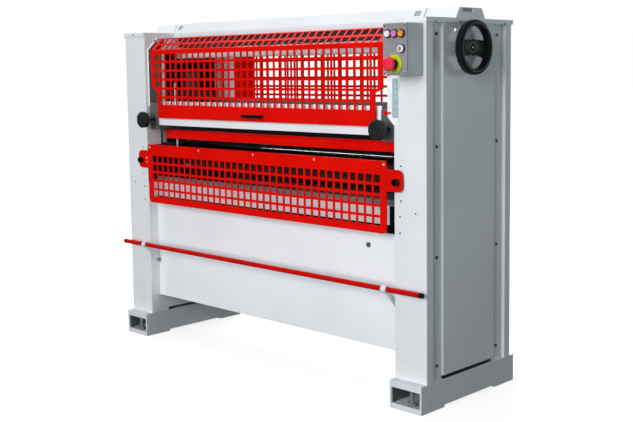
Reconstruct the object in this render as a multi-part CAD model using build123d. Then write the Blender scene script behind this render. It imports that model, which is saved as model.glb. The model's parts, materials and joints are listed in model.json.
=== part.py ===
from build123d import *
from math import atan2, cos, pi, sin, sqrt
import os

os.makedirs("parts", exist_ok=True)

# Everything is in millimetres: X runs along the rolls, the infeed side faces -Y, the floor is Z = 0.

# Rolls: the applicators are rubber covered, the doctors meter the glue
roll_face_half = 608.0
applicator_radius = 80.0
rubber_depth = 14.0
roll_wall = 12.0
roll_head = 25.0
doctor_radius = 62.5
nip_gap = 0.5
doctor_rise = 9.0
rest_opening = 17.0
applicator_teeth = 46
doctor_teeth = 35
applicator_y = 53.15
roll_drop = 543.0
applicator_journal = 25.0
doctor_journal = 20.0
journal_end = 3.0
gear_width = 20.0
gear_gap = 8.0
running_gap = 0.05
slide_gap = 1.0
dam_gap = 3.0
dam_thickness = 6.0
dam_nip_room = 30.0
dam_front_room = 10.0
lower_dam_low = 19.0
lower_dam_high = 71.0
upper_dam_high = 85.0
dam_arm_half = 20.0
dam_arm_height = 26.0

# Columns, feet and skins
roll_end_room = 77.0
column_width = 136.0
column_depth = 480.0
column_top = 1300.0
foot_height = 96.0
foot_front = 30.0
foot_rear = 24.0
foot_wall = 7.0
foot_floor = 14.0
foot_relief = 8.0
foot_relief_half = 145.0
foot_mouth_low = 18.0
foot_mouth_high = 73.0
anchor_radius = 9.0
anchor_spacing = 380.0
level_inset = 28.0
level_offset = 6.0
level_radius = 8.0
level_length = 48.0
level_nut_radius = 15.0
level_nut_height = 13.0
post_depth = 34.0
post_wall = 4.0
post_corner = 2.5
cap_height = 12.0
cap_overhang = 4.0
cap_lip = 4.0
skin = 2.5
cover_recess = 13.0
cover_raise = 9.0
cover_half = 146.0
cover_gap = 12.0
cover_bore = 17.0
wall_slot_lap = 4.0
window_front_room = 15.0
window_rear_room = 17.0
window_under_roll = 117.0
window_under_top = 70.0
panel_setback = 45.0
rear_setback = 20.0
panel_low = 173.0
panel_under_roll = 85.0
rear_panel_over_roll = 72.0
panel_return = 9.0
lock_inset = 154.0
lock_drop = 144.0
lock_radius = 12.0
lock_shank = 8.0
lock_head = 5.0
lock_cam = 34.0
tray_under_roll = 151.0
tray_height = 84.0
hood_foot = 83.0
hood_crown = 61.0
hood_height = 38.0
hood_step = 2.0
hood_seam = 3.0
hood_slot_inset = 34.0
hood_slot_half = 13.0
hood_slot_low = 14.0
hood_slot_high = 30.0
cap_slot_y = -18.0
cap_slot_half = 28.0
cap_slot_low = 21.0
cap_slot_high = 33.0
tie_half = 55.0
tie_height = 62.0
tie_wall = 5.0
low_tie_y = 130.0
low_tie_half = 20.0
low_tie_lift = 7.0
low_tie_height = 60.0
flange_screw_gap = 25.0
flange_screw_low = 49.0
flange_screw_high = 40.0
flange_screw_radius = 7.0
flange_screw_head = 4.0
post_screws = ((29, 14), (29, 130), (25, 182), (25, 238), (91, 167))
post_screw_radius = 4.5
post_screw_head = 2.5
lid_screw_radius = 3.6
lid_screw_inset = 8.0
lid_screw_head = 2.0

# Bearing plates, guide bars and drives
plate_thickness = 24.0
plate_lap = 28.0
plate_over_roll = 75.0
guide_lead = 60.4
guide_trail = 129.85
guide_width = 18.0
guide_lap = 16.0
motor_half = 55.0
motor_corner = 10.0
motor_radius = 36.0
motor_lap = 5.0
motor_side_gap = 26.0
lower_motor_length = 238.0
upper_motor_length = 197.0

# Upper unit, with heights from the upper doctor's axis
carriage_low = 45.0
carriage_high = 135.0
journal_room = 8.0
bracket_lead = 45.0
bracket_depth = 55.0
bracket_low = 32.0
bracket_high = 80.0
bracket_plate = 8.0
bracket_rail = 10.0
bracket_side_gap = 8.0
beam_lead = 90.4
beam_flange = 20.0
beam_low = 13.0
beam_high = 79.0
flap_drop = 34.0
flap_below = 39.0
flap_side_gap = 30.0
flap_pin = 4.0
flap_half_thickness = 1.5
hanger_half = 7.0
hanger_width = 8.0
slide_half = 35.0
slide_low = 24.0
slide_high = 26.0
slide_side_gap = 17.0
slide_plate_gap = 13.0
knob_rise = 11.0
knob_stand = 22.0
knob_length = 34.0
knob_radius = 30.0
knob_lobe = 4.0
knob_lobes = 7
knob_corner = 3.0
knob_shank = 6.0
knob_entry = 8.0
pointer_low = 60.0
pointer_height = 12.0
pointer_width = 10.0
pointer_reach = 25.0
pointer_needle = 28.0

# Lift
lift_y = -22.0
lift_drop = 97.0
lift_offset = 12.0
lift_radius = 12.0
lift_screw_low = 63.0
lift_nut_low = 105.0
lift_nut_height = 28.0
lift_nut_half = 16.0
lift_nut_end = 22.0
cross_radius = 12.5
bevel_half = 30.0
bevel_wall = 5.0
bevel_under = 35.0
bevel_over = 33.0
bevel_flange = 10.0
pinion_radius = 21.0
pinion_tip = 15.0
pinion_length = 6.0
pinion_gap = 20.0
wheel_gap = 25.0
wheel_radius = 91.0
wheel_rim = 10.0
wheel_depth = 28.0
wheel_round = 8.0
wheel_spoke = 20.0
wheel_boss = 23.0
wheel_web = 16.0
wheel_hub = 24.0
wheel_hub_gap = 2.0
wheel_nut = 9.0

# Guards
mesh_pitch = 36.5
mesh_hole = 27.0
mesh_edge = 14.0
sheet = 2.5
guard_side_gap = 45.0
guard_step_in = 37.0
guard_step_slope = 14.0
guard_corner = 8.0
guard_under_top = 76.0
guard_height = 281.0
guard_step_drop = 154.0
guard_band = 55.0
guard_top_edge = 16.5
guard_slope = 72.0
guard_slope_edge = 4.0
guard_pivot_back = 56.0
guard_pivot_rise = 40.0
guard_pin = 6.0
ear_thickness = 6.0
ear_depth = 38.0
ear_rim = 4.0
handle_half = 50.0
handle_rise = 20.5
handle_half_height = 6.5
handle_thickness = 12.0
handle_gap = 14.0
handle_post = 5.5
handle_post_inset = 10.0
lower_side_gap = 23.0
lower_over_roll = 73.0
lower_height = 245.0
lower_band = 25.5
lower_top_band = 46.5
lower_edge = 20.0
lower_pitch = 36.4
lower_ahead = 12.0
lower_flange = 16.0
lower_corner = 18.0
lower_pivot_rise = 7.0
lower_pivot_ahead = 2.0
lower_pin = 4.0
lower_hinge_inset = 67.0
lower_knuckle = 12.0
lug_reach = 68.0
lug_low = 100.0
lug_high = 26.0
lug_corner = 20.0
lug_knob_inset = 23.0
lug_knob_drop = 67.0
lug_knob_radius = 12.0
lug_thread = 4.0

# Knee bar
bar_overhang = 5.0
bar_radius = 9.0
bar_ahead = 28.0
bar_z = 402.0
bar_pivot_back = 58.0
bar_pivot_drop = 71.0
bar_arm_gap = 12.0
bar_arm_half = 3.0
bar_arm_width = 9.0
bar_pin = 6.0
bar_pin_reach = 8.0
bar_clamp = 14.0
bar_clamp_length = 20.0

# Controls
box_inset = 26.0
box_width = 99.5
box_drop = 20.0
box_height = 165.0
box_depth = 82.0
box_wall = 3.0
lid_thickness = 4.0
lid_corner = 4.0
button_drop = 33.0
button_pitch = 28.0
button_radius = 10.5
button_shank = 8.0
button_height = 10.0
button_room = 0.5
bezel_radius = 14.5
bezel_height = 5.0
shank_depth = 18.0
selector_drop = 81.0
selector_grip = 7.0
stop_drop = 129.0
stop_radius = 23.5
stop_shank = 10.5
stop_stem = 14.0
stop_height = 40.0
stop_head = 16.0
collar_radius = 30.0
collar_height = 4.0
scale_lap = 25.0
scale_width = 52.0
scale_low = 26.0
scale_high = 187.0
scale_corner = 26.0
scale_thickness = 3.0
strip_inset = 22.0
strip_width = 26.0
strip_low = 50.0
strip_high = 180.0
strip_thickness = 1.0
inlet_z = 220.0
inlet_flange = 16.0
inlet_neck = 11.0
inlet_bore = 6.0
inlet_length = 22.0

# Values that follow from the ones above
inner_x = roll_face_half + roll_end_room
outer_x = inner_x + column_width
front_y = -column_depth / 2
rear_y = column_depth / 2
post_top = column_top - cap_height
column_mid_x = (outer_x + inner_x) / 2
wall_x = inner_x + post_wall
cover_x = outer_x - cover_recess
roll_distance = applicator_radius + doctor_radius + nip_gap
gear_module = 2 * roll_distance / (applicator_teeth + doctor_teeth)
doctor_y = applicator_y - sqrt(roll_distance**2 - doctor_rise**2)
applicator_low_z = column_top - roll_drop
doctor_low_z = applicator_low_z + doctor_rise
applicator_high_z = applicator_low_z + 2 * applicator_radius + rest_opening
doctor_high_z = applicator_high_z - doctor_rise
guide_y = (doctor_y - guide_lead, applicator_y + guide_trail)
window_y = (guide_y[0] - window_front_room, guide_y[1] + window_rear_room)
window_z = (applicator_low_z - window_under_roll, column_top - window_under_top)
plate_z = (window_z[0] - plate_lap, applicator_low_z + plate_over_roll)
panel_y = front_y + panel_setback
rear_panel_y = rear_y - rear_setback
panel_high = applicator_low_z - panel_under_roll
tray_y = (panel_y + panel_return, rear_panel_y - panel_return)
lower_plate_x = (wall_x, wall_x + plate_thickness)
carriage_x = (wall_x + slide_gap, wall_x + slide_gap + plate_thickness)
gear_x = (carriage_x[1] + gear_gap, carriage_x[1] + gear_gap + gear_width)
dam_x = (roll_face_half + dam_gap, roll_face_half + dam_gap + dam_thickness)
motor_end = outer_x - motor_side_gap
beam_y = doctor_y - beam_lead
bracket_y = (beam_y - bracket_lead, beam_y - bracket_lead + bracket_depth)
bracket_x = (dam_x[1], inner_x - bracket_side_gap)
bracket_z = (doctor_high_z - bracket_low, doctor_high_z + bracket_high)
flap_y = beam_y + beam_flange
flap_z = doctor_high_z - flap_below
flap_half = inner_x - flap_side_gap
slide_x = (dam_x[1] + slide_plate_gap, inner_x - slide_side_gap)
slide_y = (doctor_y - slide_half, doctor_y + slide_half)
slide_z = (doctor_high_z - slide_low, doctor_high_z + slide_high)
knob_x = (slide_x[0] + slide_x[1]) / 2
knob_z = doctor_high_z + knob_rise
knob_back = front_y - knob_stand
lift_x = column_mid_x + lift_offset
lift_z = column_top - lift_drop
wheel_x = outer_x + wheel_gap
guard_half = inner_x - guard_side_gap
guard_narrow_half = guard_half - guard_step_in
guard_bend = column_top - guard_under_top
guard_low = guard_bend - guard_height
guard_step = guard_bend - guard_step_drop
guard_pivot_y = front_y + guard_pivot_back
guard_pivot_z = guard_bend + guard_pivot_rise
ear_x = (guard_half - ear_thickness, guard_half)
lower_half = inner_x - lower_side_gap
lower_high = applicator_low_z + lower_over_roll
lower_low = lower_high - lower_height
lower_y = front_y - lower_ahead
lower_pivot_y = front_y - lower_pivot_ahead
lower_pivot_z = lower_low + lower_pivot_rise
lower_hinge_x = lower_half - lower_hinge_inset
lug_tip = lower_half + lug_reach
lug_knob_x = lug_tip - lug_knob_inset
lug_knob_z = lower_high - lug_knob_drop
bar_y = front_y - bar_ahead
bar_pivot_y = bar_y + bar_pivot_back
bar_pivot_z = bar_z - bar_pivot_drop
bar_arm_x = inner_x - bar_arm_gap
box_x = (inner_x + box_inset, inner_x + box_inset + box_width)
box_z = (column_top - box_drop - box_height, column_top - box_drop)
box_mid_x = (box_x[0] + box_x[1]) / 2
box_front = front_y - box_depth
stop_z = box_z[1] - stop_drop
scale_x = (inner_x - scale_lap, inner_x - scale_lap + scale_width)
scale_z = (doctor_high_z + scale_low, doctor_high_z + scale_high)


def block(x, y, z):
    size = Box(x[1] - x[0], y[1] - y[0], z[1] - z[0])
    return Pos((x[0] + x[1]) / 2, (y[0] + y[1]) / 2, (z[0] + z[1]) / 2) * size


def rod_x(radius, x, y, z):
    return Pos((x[0] + x[1]) / 2, y, z) * (Rot(0, 90, 0) * Cylinder(radius, x[1] - x[0]))


def rod_y(radius, x, y, z):
    return Pos(x, (y[0] + y[1]) / 2, z) * (Rot(90, 0, 0) * Cylinder(radius, y[1] - y[0]))


def rod_z(radius, x, y, z):
    return Pos(x, y, (z[0] + z[1]) / 2) * Cylinder(radius, z[1] - z[0])


def slab_x(points, x):
    return extrude(Plane.YZ.offset(x[0]) * Polygon(*points, align=None), x[1] - x[0], dir=(1, 0, 0))


def other_side(shape):
    return mirror(shape, about=Plane.YZ)


def both(shape):
    return [shape, other_side(shape)]


def save(name, *shapes):
    solids = []
    for shape in shapes:
        solids.extend(shape.solids())
    result = solids[0] if len(solids) == 1 else Compound(children=solids)
    export_step(result, f"parts/{name}.step")


def tube_z(x, y, z, wall):
    inside = block((x[0] + wall, x[1] - wall), (y[0] + wall, y[1] - wall), z)
    return block(x, y, z) - inside


def tube_x(x, y, z, wall):
    inside = block(x, (y[0] + wall, y[1] - wall), (z[0] + wall, z[1] - wall))
    return block(x, y, z) - inside


def perforated(outline, centres):
    holes = [Wire.make_rect(mesh_hole, mesh_hole, Plane((x, y, 0))) for x, y in centres]
    return Face(outline.face().outer_wire(), holes)


def gear(teeth, phase, y, z, x):
    pitch_angle = 2 * pi / teeth
    pitch_radius = gear_module * teeth / 2
    steps = ((-0.26, -1.25), (-0.10, 1.0), (0.10, 1.0), (0.26, -1.25))
    points = []
    for tooth in range(teeth):
        for share, reach in steps:
            angle = phase + (tooth + share) * pitch_angle
            radius = pitch_radius + reach * gear_module
            points.append((y + radius * cos(angle), z + radius * sin(angle)))
    return slab_x(points, x)


def build_feet():
    x = (inner_x, outer_x)
    y = (front_y - foot_front, rear_y + foot_rear)
    inside_x = (inner_x + foot_wall, outer_x - foot_wall)
    foot = block(x, y, (0, foot_height))
    foot -= block(inside_x, (y[0] + foot_wall, y[1] - foot_wall), (foot_floor, foot_height - foot_wall))
    foot -= block(inside_x, y, (foot_mouth_low, foot_mouth_high))
    foot -= block(x, (-foot_relief_half, foot_relief_half), (0, foot_relief))
    for anchor_y in (-anchor_spacing / 2, anchor_spacing / 2):
        foot -= rod_z(anchor_radius, column_mid_x, anchor_y, (0, foot_floor))
    save("foot_tubes", *both(foot))

    bolts = []
    bolt_x = column_mid_x + level_offset
    for bolt_y in (y[0] + level_inset, y[1] - level_inset):
        shank = rod_z(level_radius, bolt_x, bolt_y, (foot_floor, foot_floor + level_length))
        hexagon = Pos(bolt_x, bolt_y, foot_floor) * RegularPolygon(level_nut_radius, 6)
        bolts.extend(both(shank + extrude(hexagon, level_nut_height)))
    save("levelling_bolts", *bolts)


def build_columns():
    post = tube_z((inner_x, outer_x), (front_y, front_y + post_depth), (foot_height, post_top), post_wall)
    post = fillet(post.edges().filter_by(Axis.Z).group_by(Axis.Y)[0], post_corner)
    front_post = post - rod_y(lug_thread + 1, lug_knob_x, (front_y - 1, front_y + post_wall + 1), lug_knob_z)
    rear_post = mirror(post, about=Plane.XZ)
    save("column_posts", *both(front_post), *both(rear_post))

    x = (inner_x, wall_x)
    y = (front_y + post_depth, rear_y - post_depth)
    wall = block(x, y, (foot_height, post_top))
    wall -= block(x, window_y, window_z)
    slot_half = cover_half + wall_slot_lap
    wall -= block(x, (-slot_half, slot_half), (foot_height, foot_height + cover_gap))
    save("inner_walls", *both(wall))

    face = cover_x + cover_raise
    inside = cover_half - skin
    cover = block((cover_x - skin, cover_x), y, (foot_height, post_top))
    cover += block((cover_x, face), (-cover_half, cover_half), (foot_height + cover_gap, post_top))
    cover -= block((cover_x - skin, face - skin), (-inside, inside), (foot_height, post_top - skin))
    left_cover = other_side(cover)
    right_cover = cover - rod_x(cover_bore, (cover_x - skin, face), lift_y, lift_z)
    save("side_covers", right_cover, left_cover)


def hood_points(height, inset):
    slope = (hood_foot - hood_crown) / hood_height
    crown = hood_foot - slope * height
    return ((-hood_foot + inset, column_top), (hood_foot - inset, column_top),
            (crown - inset, column_top + height), (-crown + inset, column_top + height))


def build_tops():
    x = (inner_x, outer_x + cap_overhang)
    y = (front_y - cap_overhang, rear_y + cap_overhang)
    cap = block(x, y, (post_top - cap_lip, column_top))
    cap -= block((inner_x, outer_x), (front_y, rear_y), (post_top - cap_lip, post_top))
    height = hood_height - hood_step
    end = slab_x(hood_points(height, 0), (inner_x, outer_x))
    end -= slab_x(hood_points(height - skin, skin), (inner_x, outer_x - skin))
    slot_y = (cap_slot_y - cap_slot_half, cap_slot_y + cap_slot_half)
    end -= block((outer_x - skin, outer_x), slot_y, (column_top + cap_slot_low, column_top + cap_slot_high))
    save("column_caps", *both(cap + end))

    half = inner_x - hood_seam
    hood = slab_x(hood_points(hood_height, 0), (-half, half))
    hollow = slab_x(hood_points(hood_height - skin, skin), (-half, half))
    hood -= hollow - block((-half, half), (-hood_foot, hood_foot), (column_top, column_top + skin))
    for centre in (hood_slot_inset - inner_x, inner_x - hood_slot_inset):
        slot_x = (centre - hood_slot_half, centre + hood_slot_half)
        slot_z = (column_top + hood_slot_low, column_top + hood_slot_high)
        hood -= block(slot_x, (-hood_foot, -hood_crown + 4 * skin), slot_z)
    save("hood", hood)

    x = (-inner_x, inner_x)
    low_z = (panel_low + low_tie_lift, panel_low + low_tie_lift + low_tie_height)
    ties = [tube_x(x, (-tie_half, tie_half), (column_top - tie_height, column_top), tie_wall)]
    for y in (-low_tie_y, low_tie_y):
        ties.append(tube_x(x, (y - low_tie_half, y + low_tie_half), low_z, tie_wall))
    save("frame_ties", *ties)


def sheet_panel(y, inward, high):
    x = (-inner_x, inner_x)
    deep = sorted((y, y + inward * panel_return))
    panel = block(x, sorted((y, y + inward * skin)), (panel_low, high))
    panel += block(x, deep, (high - skin, high))
    panel += block(x, deep, (panel_low, panel_low + skin))
    return panel


def build_panels():
    lock_x = inner_x - lock_inset
    lock_z = panel_high - lock_drop
    front = sheet_panel(panel_y, 1, panel_high)
    front -= rod_y(lock_shank + running_gap, lock_x, (panel_y, panel_y + skin), lock_z)
    save("front_panel", front)
    save("rear_panel", sheet_panel(rear_panel_y, -1, applicator_low_z + rear_panel_over_roll))

    cam_y = (panel_y + lock_radius, panel_y + lock_radius + 3)
    lock = rod_y(lock_radius, lock_x, (panel_y - lock_head, panel_y - 0.2), lock_z)
    lock += rod_y(lock_shank, lock_x, (panel_y - 1, cam_y[1] + 1), lock_z)
    lock += block((lock_x - 7, lock_x + lock_cam), cam_y, (lock_z - 7, lock_z + 7))
    lock -= block((lock_x - 1.2, lock_x + 1.2), (panel_y - lock_head, panel_y - lock_head / 2),
                  (lock_z - lock_shank, lock_z + lock_shank))
    save("panel_lock", lock)

    inside = inner_x - skin
    z = (applicator_low_z - tray_under_roll, applicator_low_z - tray_under_roll + tray_height)
    tray = block((-inner_x, inner_x), tray_y, z)
    tray -= block((-inside, inside), (tray_y[0] + skin, tray_y[1] - skin), (z[0] + skin, z[1]))
    tray -= block((-inner_x, inner_x), (window_y[0], tray_y[1] - skin), (window_z[0], z[1]))
    save("drip_tray", tray)


def build_screws():
    heads = []
    low = foot_height + flange_screw_low
    pitch = (post_top - flange_screw_high - low) / 3
    flange_y = cover_half + flange_screw_gap
    for level in range(4):
        for y in (-flange_y, flange_y):
            head_x = (cover_x, cover_x + flange_screw_head)
            heads.extend(both(rod_x(flange_screw_radius, head_x, y, low + level * pitch)))
    for across, down in post_screws:
        head_y = (front_y - post_screw_head, front_y)
        heads.extend(both(rod_y(post_screw_radius, inner_x + across, head_y, lower_high - down)))
    for x in (box_x[0] + lid_screw_inset, box_x[1] - lid_screw_inset):
        for z in (box_z[0] + lid_screw_inset, box_z[1] - lid_screw_inset):
            heads.append(rod_y(lid_screw_radius, x, (box_front - lid_screw_head, box_front), z))
    save("panel_screws", *heads)


def build_bearing_plates():
    plate = block(lower_plate_x, guide_y, plate_z)
    plate -= rod_x(applicator_journal + running_gap, lower_plate_x, applicator_y, applicator_low_z)
    plate -= rod_x(doctor_journal + running_gap, lower_plate_x, doctor_y, doctor_low_z)
    save("bearing_plates", *both(plate))

    bars = []
    x = (wall_x, wall_x + plate_thickness + 2 * slide_gap)
    for y in ((guide_y[0], guide_y[0] + guide_width), (guide_y[1] - guide_width, guide_y[1])):
        bars.extend(both(block(x, y, (plate_z[1], window_z[1] + guide_lap))))
    save("guide_bars", *bars)

    middle = (doctor_y + applicator_y) / 2
    top = applicator_low_z + lower_dam_high
    dam = block(dam_x, (doctor_y + dam_nip_room, applicator_y - dam_nip_room),
                (applicator_low_z + lower_dam_low, top))
    arm_y = (middle - dam_arm_half, middle + dam_arm_half)
    dam += block((dam_x[0], wall_x), arm_y, (top - dam_arm_height, top))
    save("lower_dams", *both(dam))


def hollow_roll(radius, y, z):
    face = (-roll_face_half, roll_face_half)
    cavity = (roll_head - roll_face_half, roll_face_half - roll_head)
    return rod_x(radius, face, y, z) - rod_x(radius - roll_wall, cavity, y, z)


def build_roll_pair(level, applicator_z, doctor_z, gear_span, applicator_span, doctor_span):
    face = (-roll_face_half, roll_face_half)
    core_radius = applicator_radius - rubber_depth
    sleeve = rod_x(applicator_radius, face, applicator_y, applicator_z)
    sleeve -= rod_x(core_radius, face, applicator_y, applicator_z)
    save(f"{level}_applicator_sleeve", sleeve)

    angle = atan2(doctor_z - applicator_z, doctor_y - applicator_y)
    shaft = hollow_roll(core_radius, applicator_y, applicator_z)
    shaft += rod_x(applicator_journal, applicator_span, applicator_y, applicator_z)
    shaft += gear(applicator_teeth, angle, applicator_y, applicator_z, gear_span)
    save(f"{level}_applicator_shaft", shaft)

    mesh_angle = angle + pi + pi / doctor_teeth
    roll = hollow_roll(doctor_radius, doctor_y, doctor_z)
    roll += rod_x(doctor_journal, doctor_span, doctor_y, doctor_z)
    roll += gear(doctor_teeth, mesh_angle, doctor_y, doctor_z, gear_span)
    save(f"{level}_doctor_roll", roll)


def build_rolls():
    drive_end = motor_end - motor_lap
    gear_end = gear_x[1] + journal_end
    gear_left = (-gear_x[1], -gear_x[0])
    build_roll_pair("lower", applicator_low_z, doctor_low_z, gear_left,
                    (-gear_end, drive_end), (-gear_end, lower_plate_x[1] + journal_end))
    build_roll_pair("upper", applicator_high_z, doctor_high_z, gear_x,
                    (-drive_end, gear_end), (-slide_x[1] - journal_end, gear_end))


def gear_motor(x, z, motor_z):
    y = (applicator_y - motor_half, applicator_y + motor_half)
    case = block(x, y, (z - motor_half, z + motor_half))
    case = fillet(case.edges().filter_by(Axis.X), motor_corner)
    case -= rod_x(applicator_journal + running_gap, x, applicator_y, z)
    middle = (x[0] + x[1]) / 2
    return case + rod_z(motor_radius, middle, applicator_y, motor_z)


def build_motors():
    reach = motor_half - motor_lap
    low_z = (applicator_low_z - lower_motor_length, applicator_low_z - reach)
    save("lower_gear_motor", gear_motor((lower_plate_x[1], motor_end), applicator_low_z, low_z))
    high_z = (applicator_high_z + reach, applicator_high_z + upper_motor_length)
    high = gear_motor((carriage_x[1], motor_end), applicator_high_z, high_z)
    save("upper_gear_motor", other_side(high))


def build_upper_unit():
    y = (guide_y[0] + guide_width + slide_gap, guide_y[1] - guide_width - slide_gap)
    carriage = block(carriage_x, y, (doctor_high_z - carriage_low, doctor_high_z + carriage_high))
    carriage -= rod_x(applicator_journal + running_gap, carriage_x, applicator_y, applicator_high_z)
    carriage -= rod_x(doctor_journal + journal_room, carriage_x, doctor_y, doctor_high_z)
    save("upper_carriages", *both(carriage))

    nut_z = (doctor_high_z + lift_nut_low, doctor_high_z + lift_nut_low + lift_nut_height)
    nut_y = (lift_y - lift_nut_half, lift_y + lift_nut_half)
    nut = block((carriage_x[1], lift_x + lift_nut_end), nut_y, nut_z)
    save("lift_nuts", *both(nut - rod_z(lift_radius + running_gap, lift_x, lift_y, nut_z)))

    beam_x = (-dam_x[1], dam_x[1])
    beam_z = (doctor_high_z - beam_low, doctor_high_z + beam_high)
    flange_y = (bracket_y[0], beam_y + beam_flange)
    beam = block(beam_x, (bracket_y[0], bracket_y[0] + skin), beam_z)
    beam += block(beam_x, flange_y, (beam_z[1] - skin, beam_z[1]))
    beam += block(beam_x, flange_y, (beam_z[0], beam_z[0] + skin))
    save("upper_beam", beam)

    dam_y = (doctor_y + dam_front_room, applicator_y - dam_nip_room)
    save("upper_dams", *both(block(dam_x, dam_y, (slide_z[1], doctor_high_z + upper_dam_high))))

    tip = (bracket_y[0] - pointer_reach, bracket_y[0] - pointer_reach + 4)
    x = bracket_x[1] - 1 - pointer_needle
    z = (doctor_high_z + pointer_low, doctor_high_z + pointer_low + pointer_height)
    pointer = block((x, x + pointer_width), (tip[0], bracket_y[0]), z)
    pointer += block((x, x + pointer_needle), tip, (z[0] + 3, z[1] - 3))
    save("pointer", pointer)


def build_end_brackets():
    plate_x = (bracket_x[0], bracket_x[0] + bracket_plate)
    rail_x = (bracket_x[0], slide_x[1] - slide_gap)
    rail_rear = slide_y[1] + 5
    bridge_y = (guide_y[0] + guide_width + slide_gap, slide_y[1] - 5)
    bridge_z = (slide_z[1] + bracket_rail, bracket_z[1] - 5)
    bracket = block(plate_x, (bracket_y[0], slide_y[1] + 15), (bracket_z[0], bracket_z[1] + 5))
    bracket -= rod_x(doctor_journal + journal_room, plate_x, doctor_y, doctor_high_z)
    bracket += block(bracket_x, bracket_y, bracket_z)
    bracket += block(bracket_x, (bracket_y[0], guide_y[0]), (bracket_z[0], bracket_z[0] + bracket_rail))
    bracket += block(rail_x, (guide_y[0], rail_rear), (bracket_z[0], slide_z[0]))
    bracket += block(rail_x, (bracket_y[1], rail_rear), (slide_z[1], slide_z[1] + bracket_rail))
    bracket += block((bracket_x[0], carriage_x[0]), bridge_y, bridge_z)
    hanger_x = (flap_half + 2, flap_half + 2 + hanger_width)
    hanger_y = (flap_y - hanger_half, flap_y + hanger_half)
    bracket += block(hanger_x, hanger_y, (flap_z - hanger_half + 1, bracket_z[0]))
    bracket -= rod_x(flap_pin + running_gap, hanger_x, flap_y, flap_z)
    bracket -= rod_y(knob_shank + running_gap, knob_x, bracket_y, knob_z)
    save("end_brackets", *both(bracket))

    flap_depth = (flap_y - flap_half_thickness, flap_y + flap_half_thickness)
    flap = block((-flap_half, flap_half), flap_depth, (flap_z - flap_drop, flap_z))
    flap += rod_x(flap_pin, (-hanger_x[1], hanger_x[1]), flap_y, flap_z)
    save("trip_flap", flap)

    carrier = block(slide_x, slide_y, (slide_z[0] + slide_gap, slide_z[1] - slide_gap))
    carrier -= rod_x(doctor_journal + running_gap, slide_x, doctor_y, doctor_high_z)
    carrier -= rod_y(knob_shank + running_gap, knob_x, (slide_y[0], slide_y[0] + knob_entry + 3.5), knob_z)
    save("doctor_blocks", *both(carrier))

    head = Circle(knob_radius) + PolarLocations(knob_radius, knob_lobes) * Circle(knob_lobe)
    knob = extrude(Plane.XZ.offset(-knob_back) * (Pos(knob_x, knob_z) * head), knob_length)
    knob = fillet(knob.edges().filter_by(Axis.Y, reverse=True).group_by(Axis.Y)[0], knob_corner)
    knob += rod_y(knob_shank, knob_x, (knob_back - 2, slide_y[0] + knob_entry), knob_z)
    save("doctor_knob_right", knob)
    save("doctor_knob_left", other_side(knob))


def build_lift():
    x = (lift_x - bevel_half, lift_x + bevel_half)
    y = (lift_y - bevel_half, lift_y + bevel_half)
    z = (lift_z - bevel_under, lift_z + bevel_over)
    case = block(x, y, z)
    case -= block((x[0] + bevel_wall, x[1] - bevel_wall), (y[0] + bevel_wall, y[1] - bevel_wall),
                  (z[0] + bevel_wall, z[1] - bevel_wall))
    case += block((wall_x, x[1]), y, (z[1] - bevel_wall + 1, z[1] - bevel_wall + 1 + bevel_flange))
    case -= rod_x(cross_radius + running_gap, x, lift_y, lift_z)
    case -= rod_z(lift_radius + running_gap, lift_x, lift_y, (z[0], z[0] + bevel_wall))
    save("bevel_boxes", *both(case))

    upright = (Align.CENTER, Align.CENTER, Align.MIN)
    cone = Cone(pinion_radius, pinion_tip, pinion_length, align=upright)
    nut_start = wheel_x + wheel_hub / 2
    shaft = rod_x(cross_radius, (-x[1] - bevel_wall, nut_start + 1), lift_y, lift_z)
    shaft += rod_x(wheel_nut, (nut_start, nut_start + 7), lift_y, lift_z)
    for part in both(Pos(lift_x - pinion_gap, lift_y, lift_z) * (Rot(0, 90, 0) * cone)):
        shaft += part
    save("lift_cross_shaft", shaft)

    screw = rod_z(lift_radius, lift_x, lift_y, (doctor_high_z - lift_screw_low, lift_z - cross_radius - 4.5))
    bevel = Cone(pinion_radius - 1, pinion_tip, pinion_length - 1, align=upright)
    screw += Pos(lift_x, lift_y, z[0] + bevel_wall + 3.5) * bevel
    save("lift_screw_right", screw)
    save("lift_screw_left", other_side(screw))


def build_handwheel():
    reach = wheel_radius - wheel_rim
    rim_x = (wheel_x - wheel_depth / 2, wheel_x + wheel_depth / 2)
    rim = rod_x(wheel_radius, rim_x, lift_y, lift_z) - rod_x(wheel_radius - 2 * wheel_rim, rim_x, lift_y, lift_z)
    rim = fillet(rim.edges().filter_by(GeomType.CIRCLE), min(wheel_round, wheel_rim - 1, wheel_depth / 2 - 1))
    under = [(-reach, -wheel_spoke), (-wheel_hub, -wheel_boss),
             (wheel_hub, -wheel_boss), (reach, -wheel_spoke)]
    arms = under + [(-along, -rise) for along, rise in under]
    points = [(lift_y + along, lift_z + rise) for along, rise in arms]
    hub_x = (cover_x + cover_raise + wheel_hub_gap, wheel_x + wheel_hub / 2)
    wheel = rim + slab_x(points, (wheel_x - wheel_web / 2, wheel_x + wheel_web / 2))
    wheel += rod_x(wheel_hub, hub_x, lift_y, lift_z)
    save("handwheel", wheel - rod_x(cross_radius, hub_x, lift_y, lift_z))


def mesh_row(half, edge, pitch, level):
    count = int((2 * half - 2 * edge) / pitch)
    return [((column - (count - 1) / 2) * pitch, level) for column in range(count)]


def row_count(room, pitch):
    return 1 + int((room - mesh_hole) / pitch + 0.001)


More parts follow.
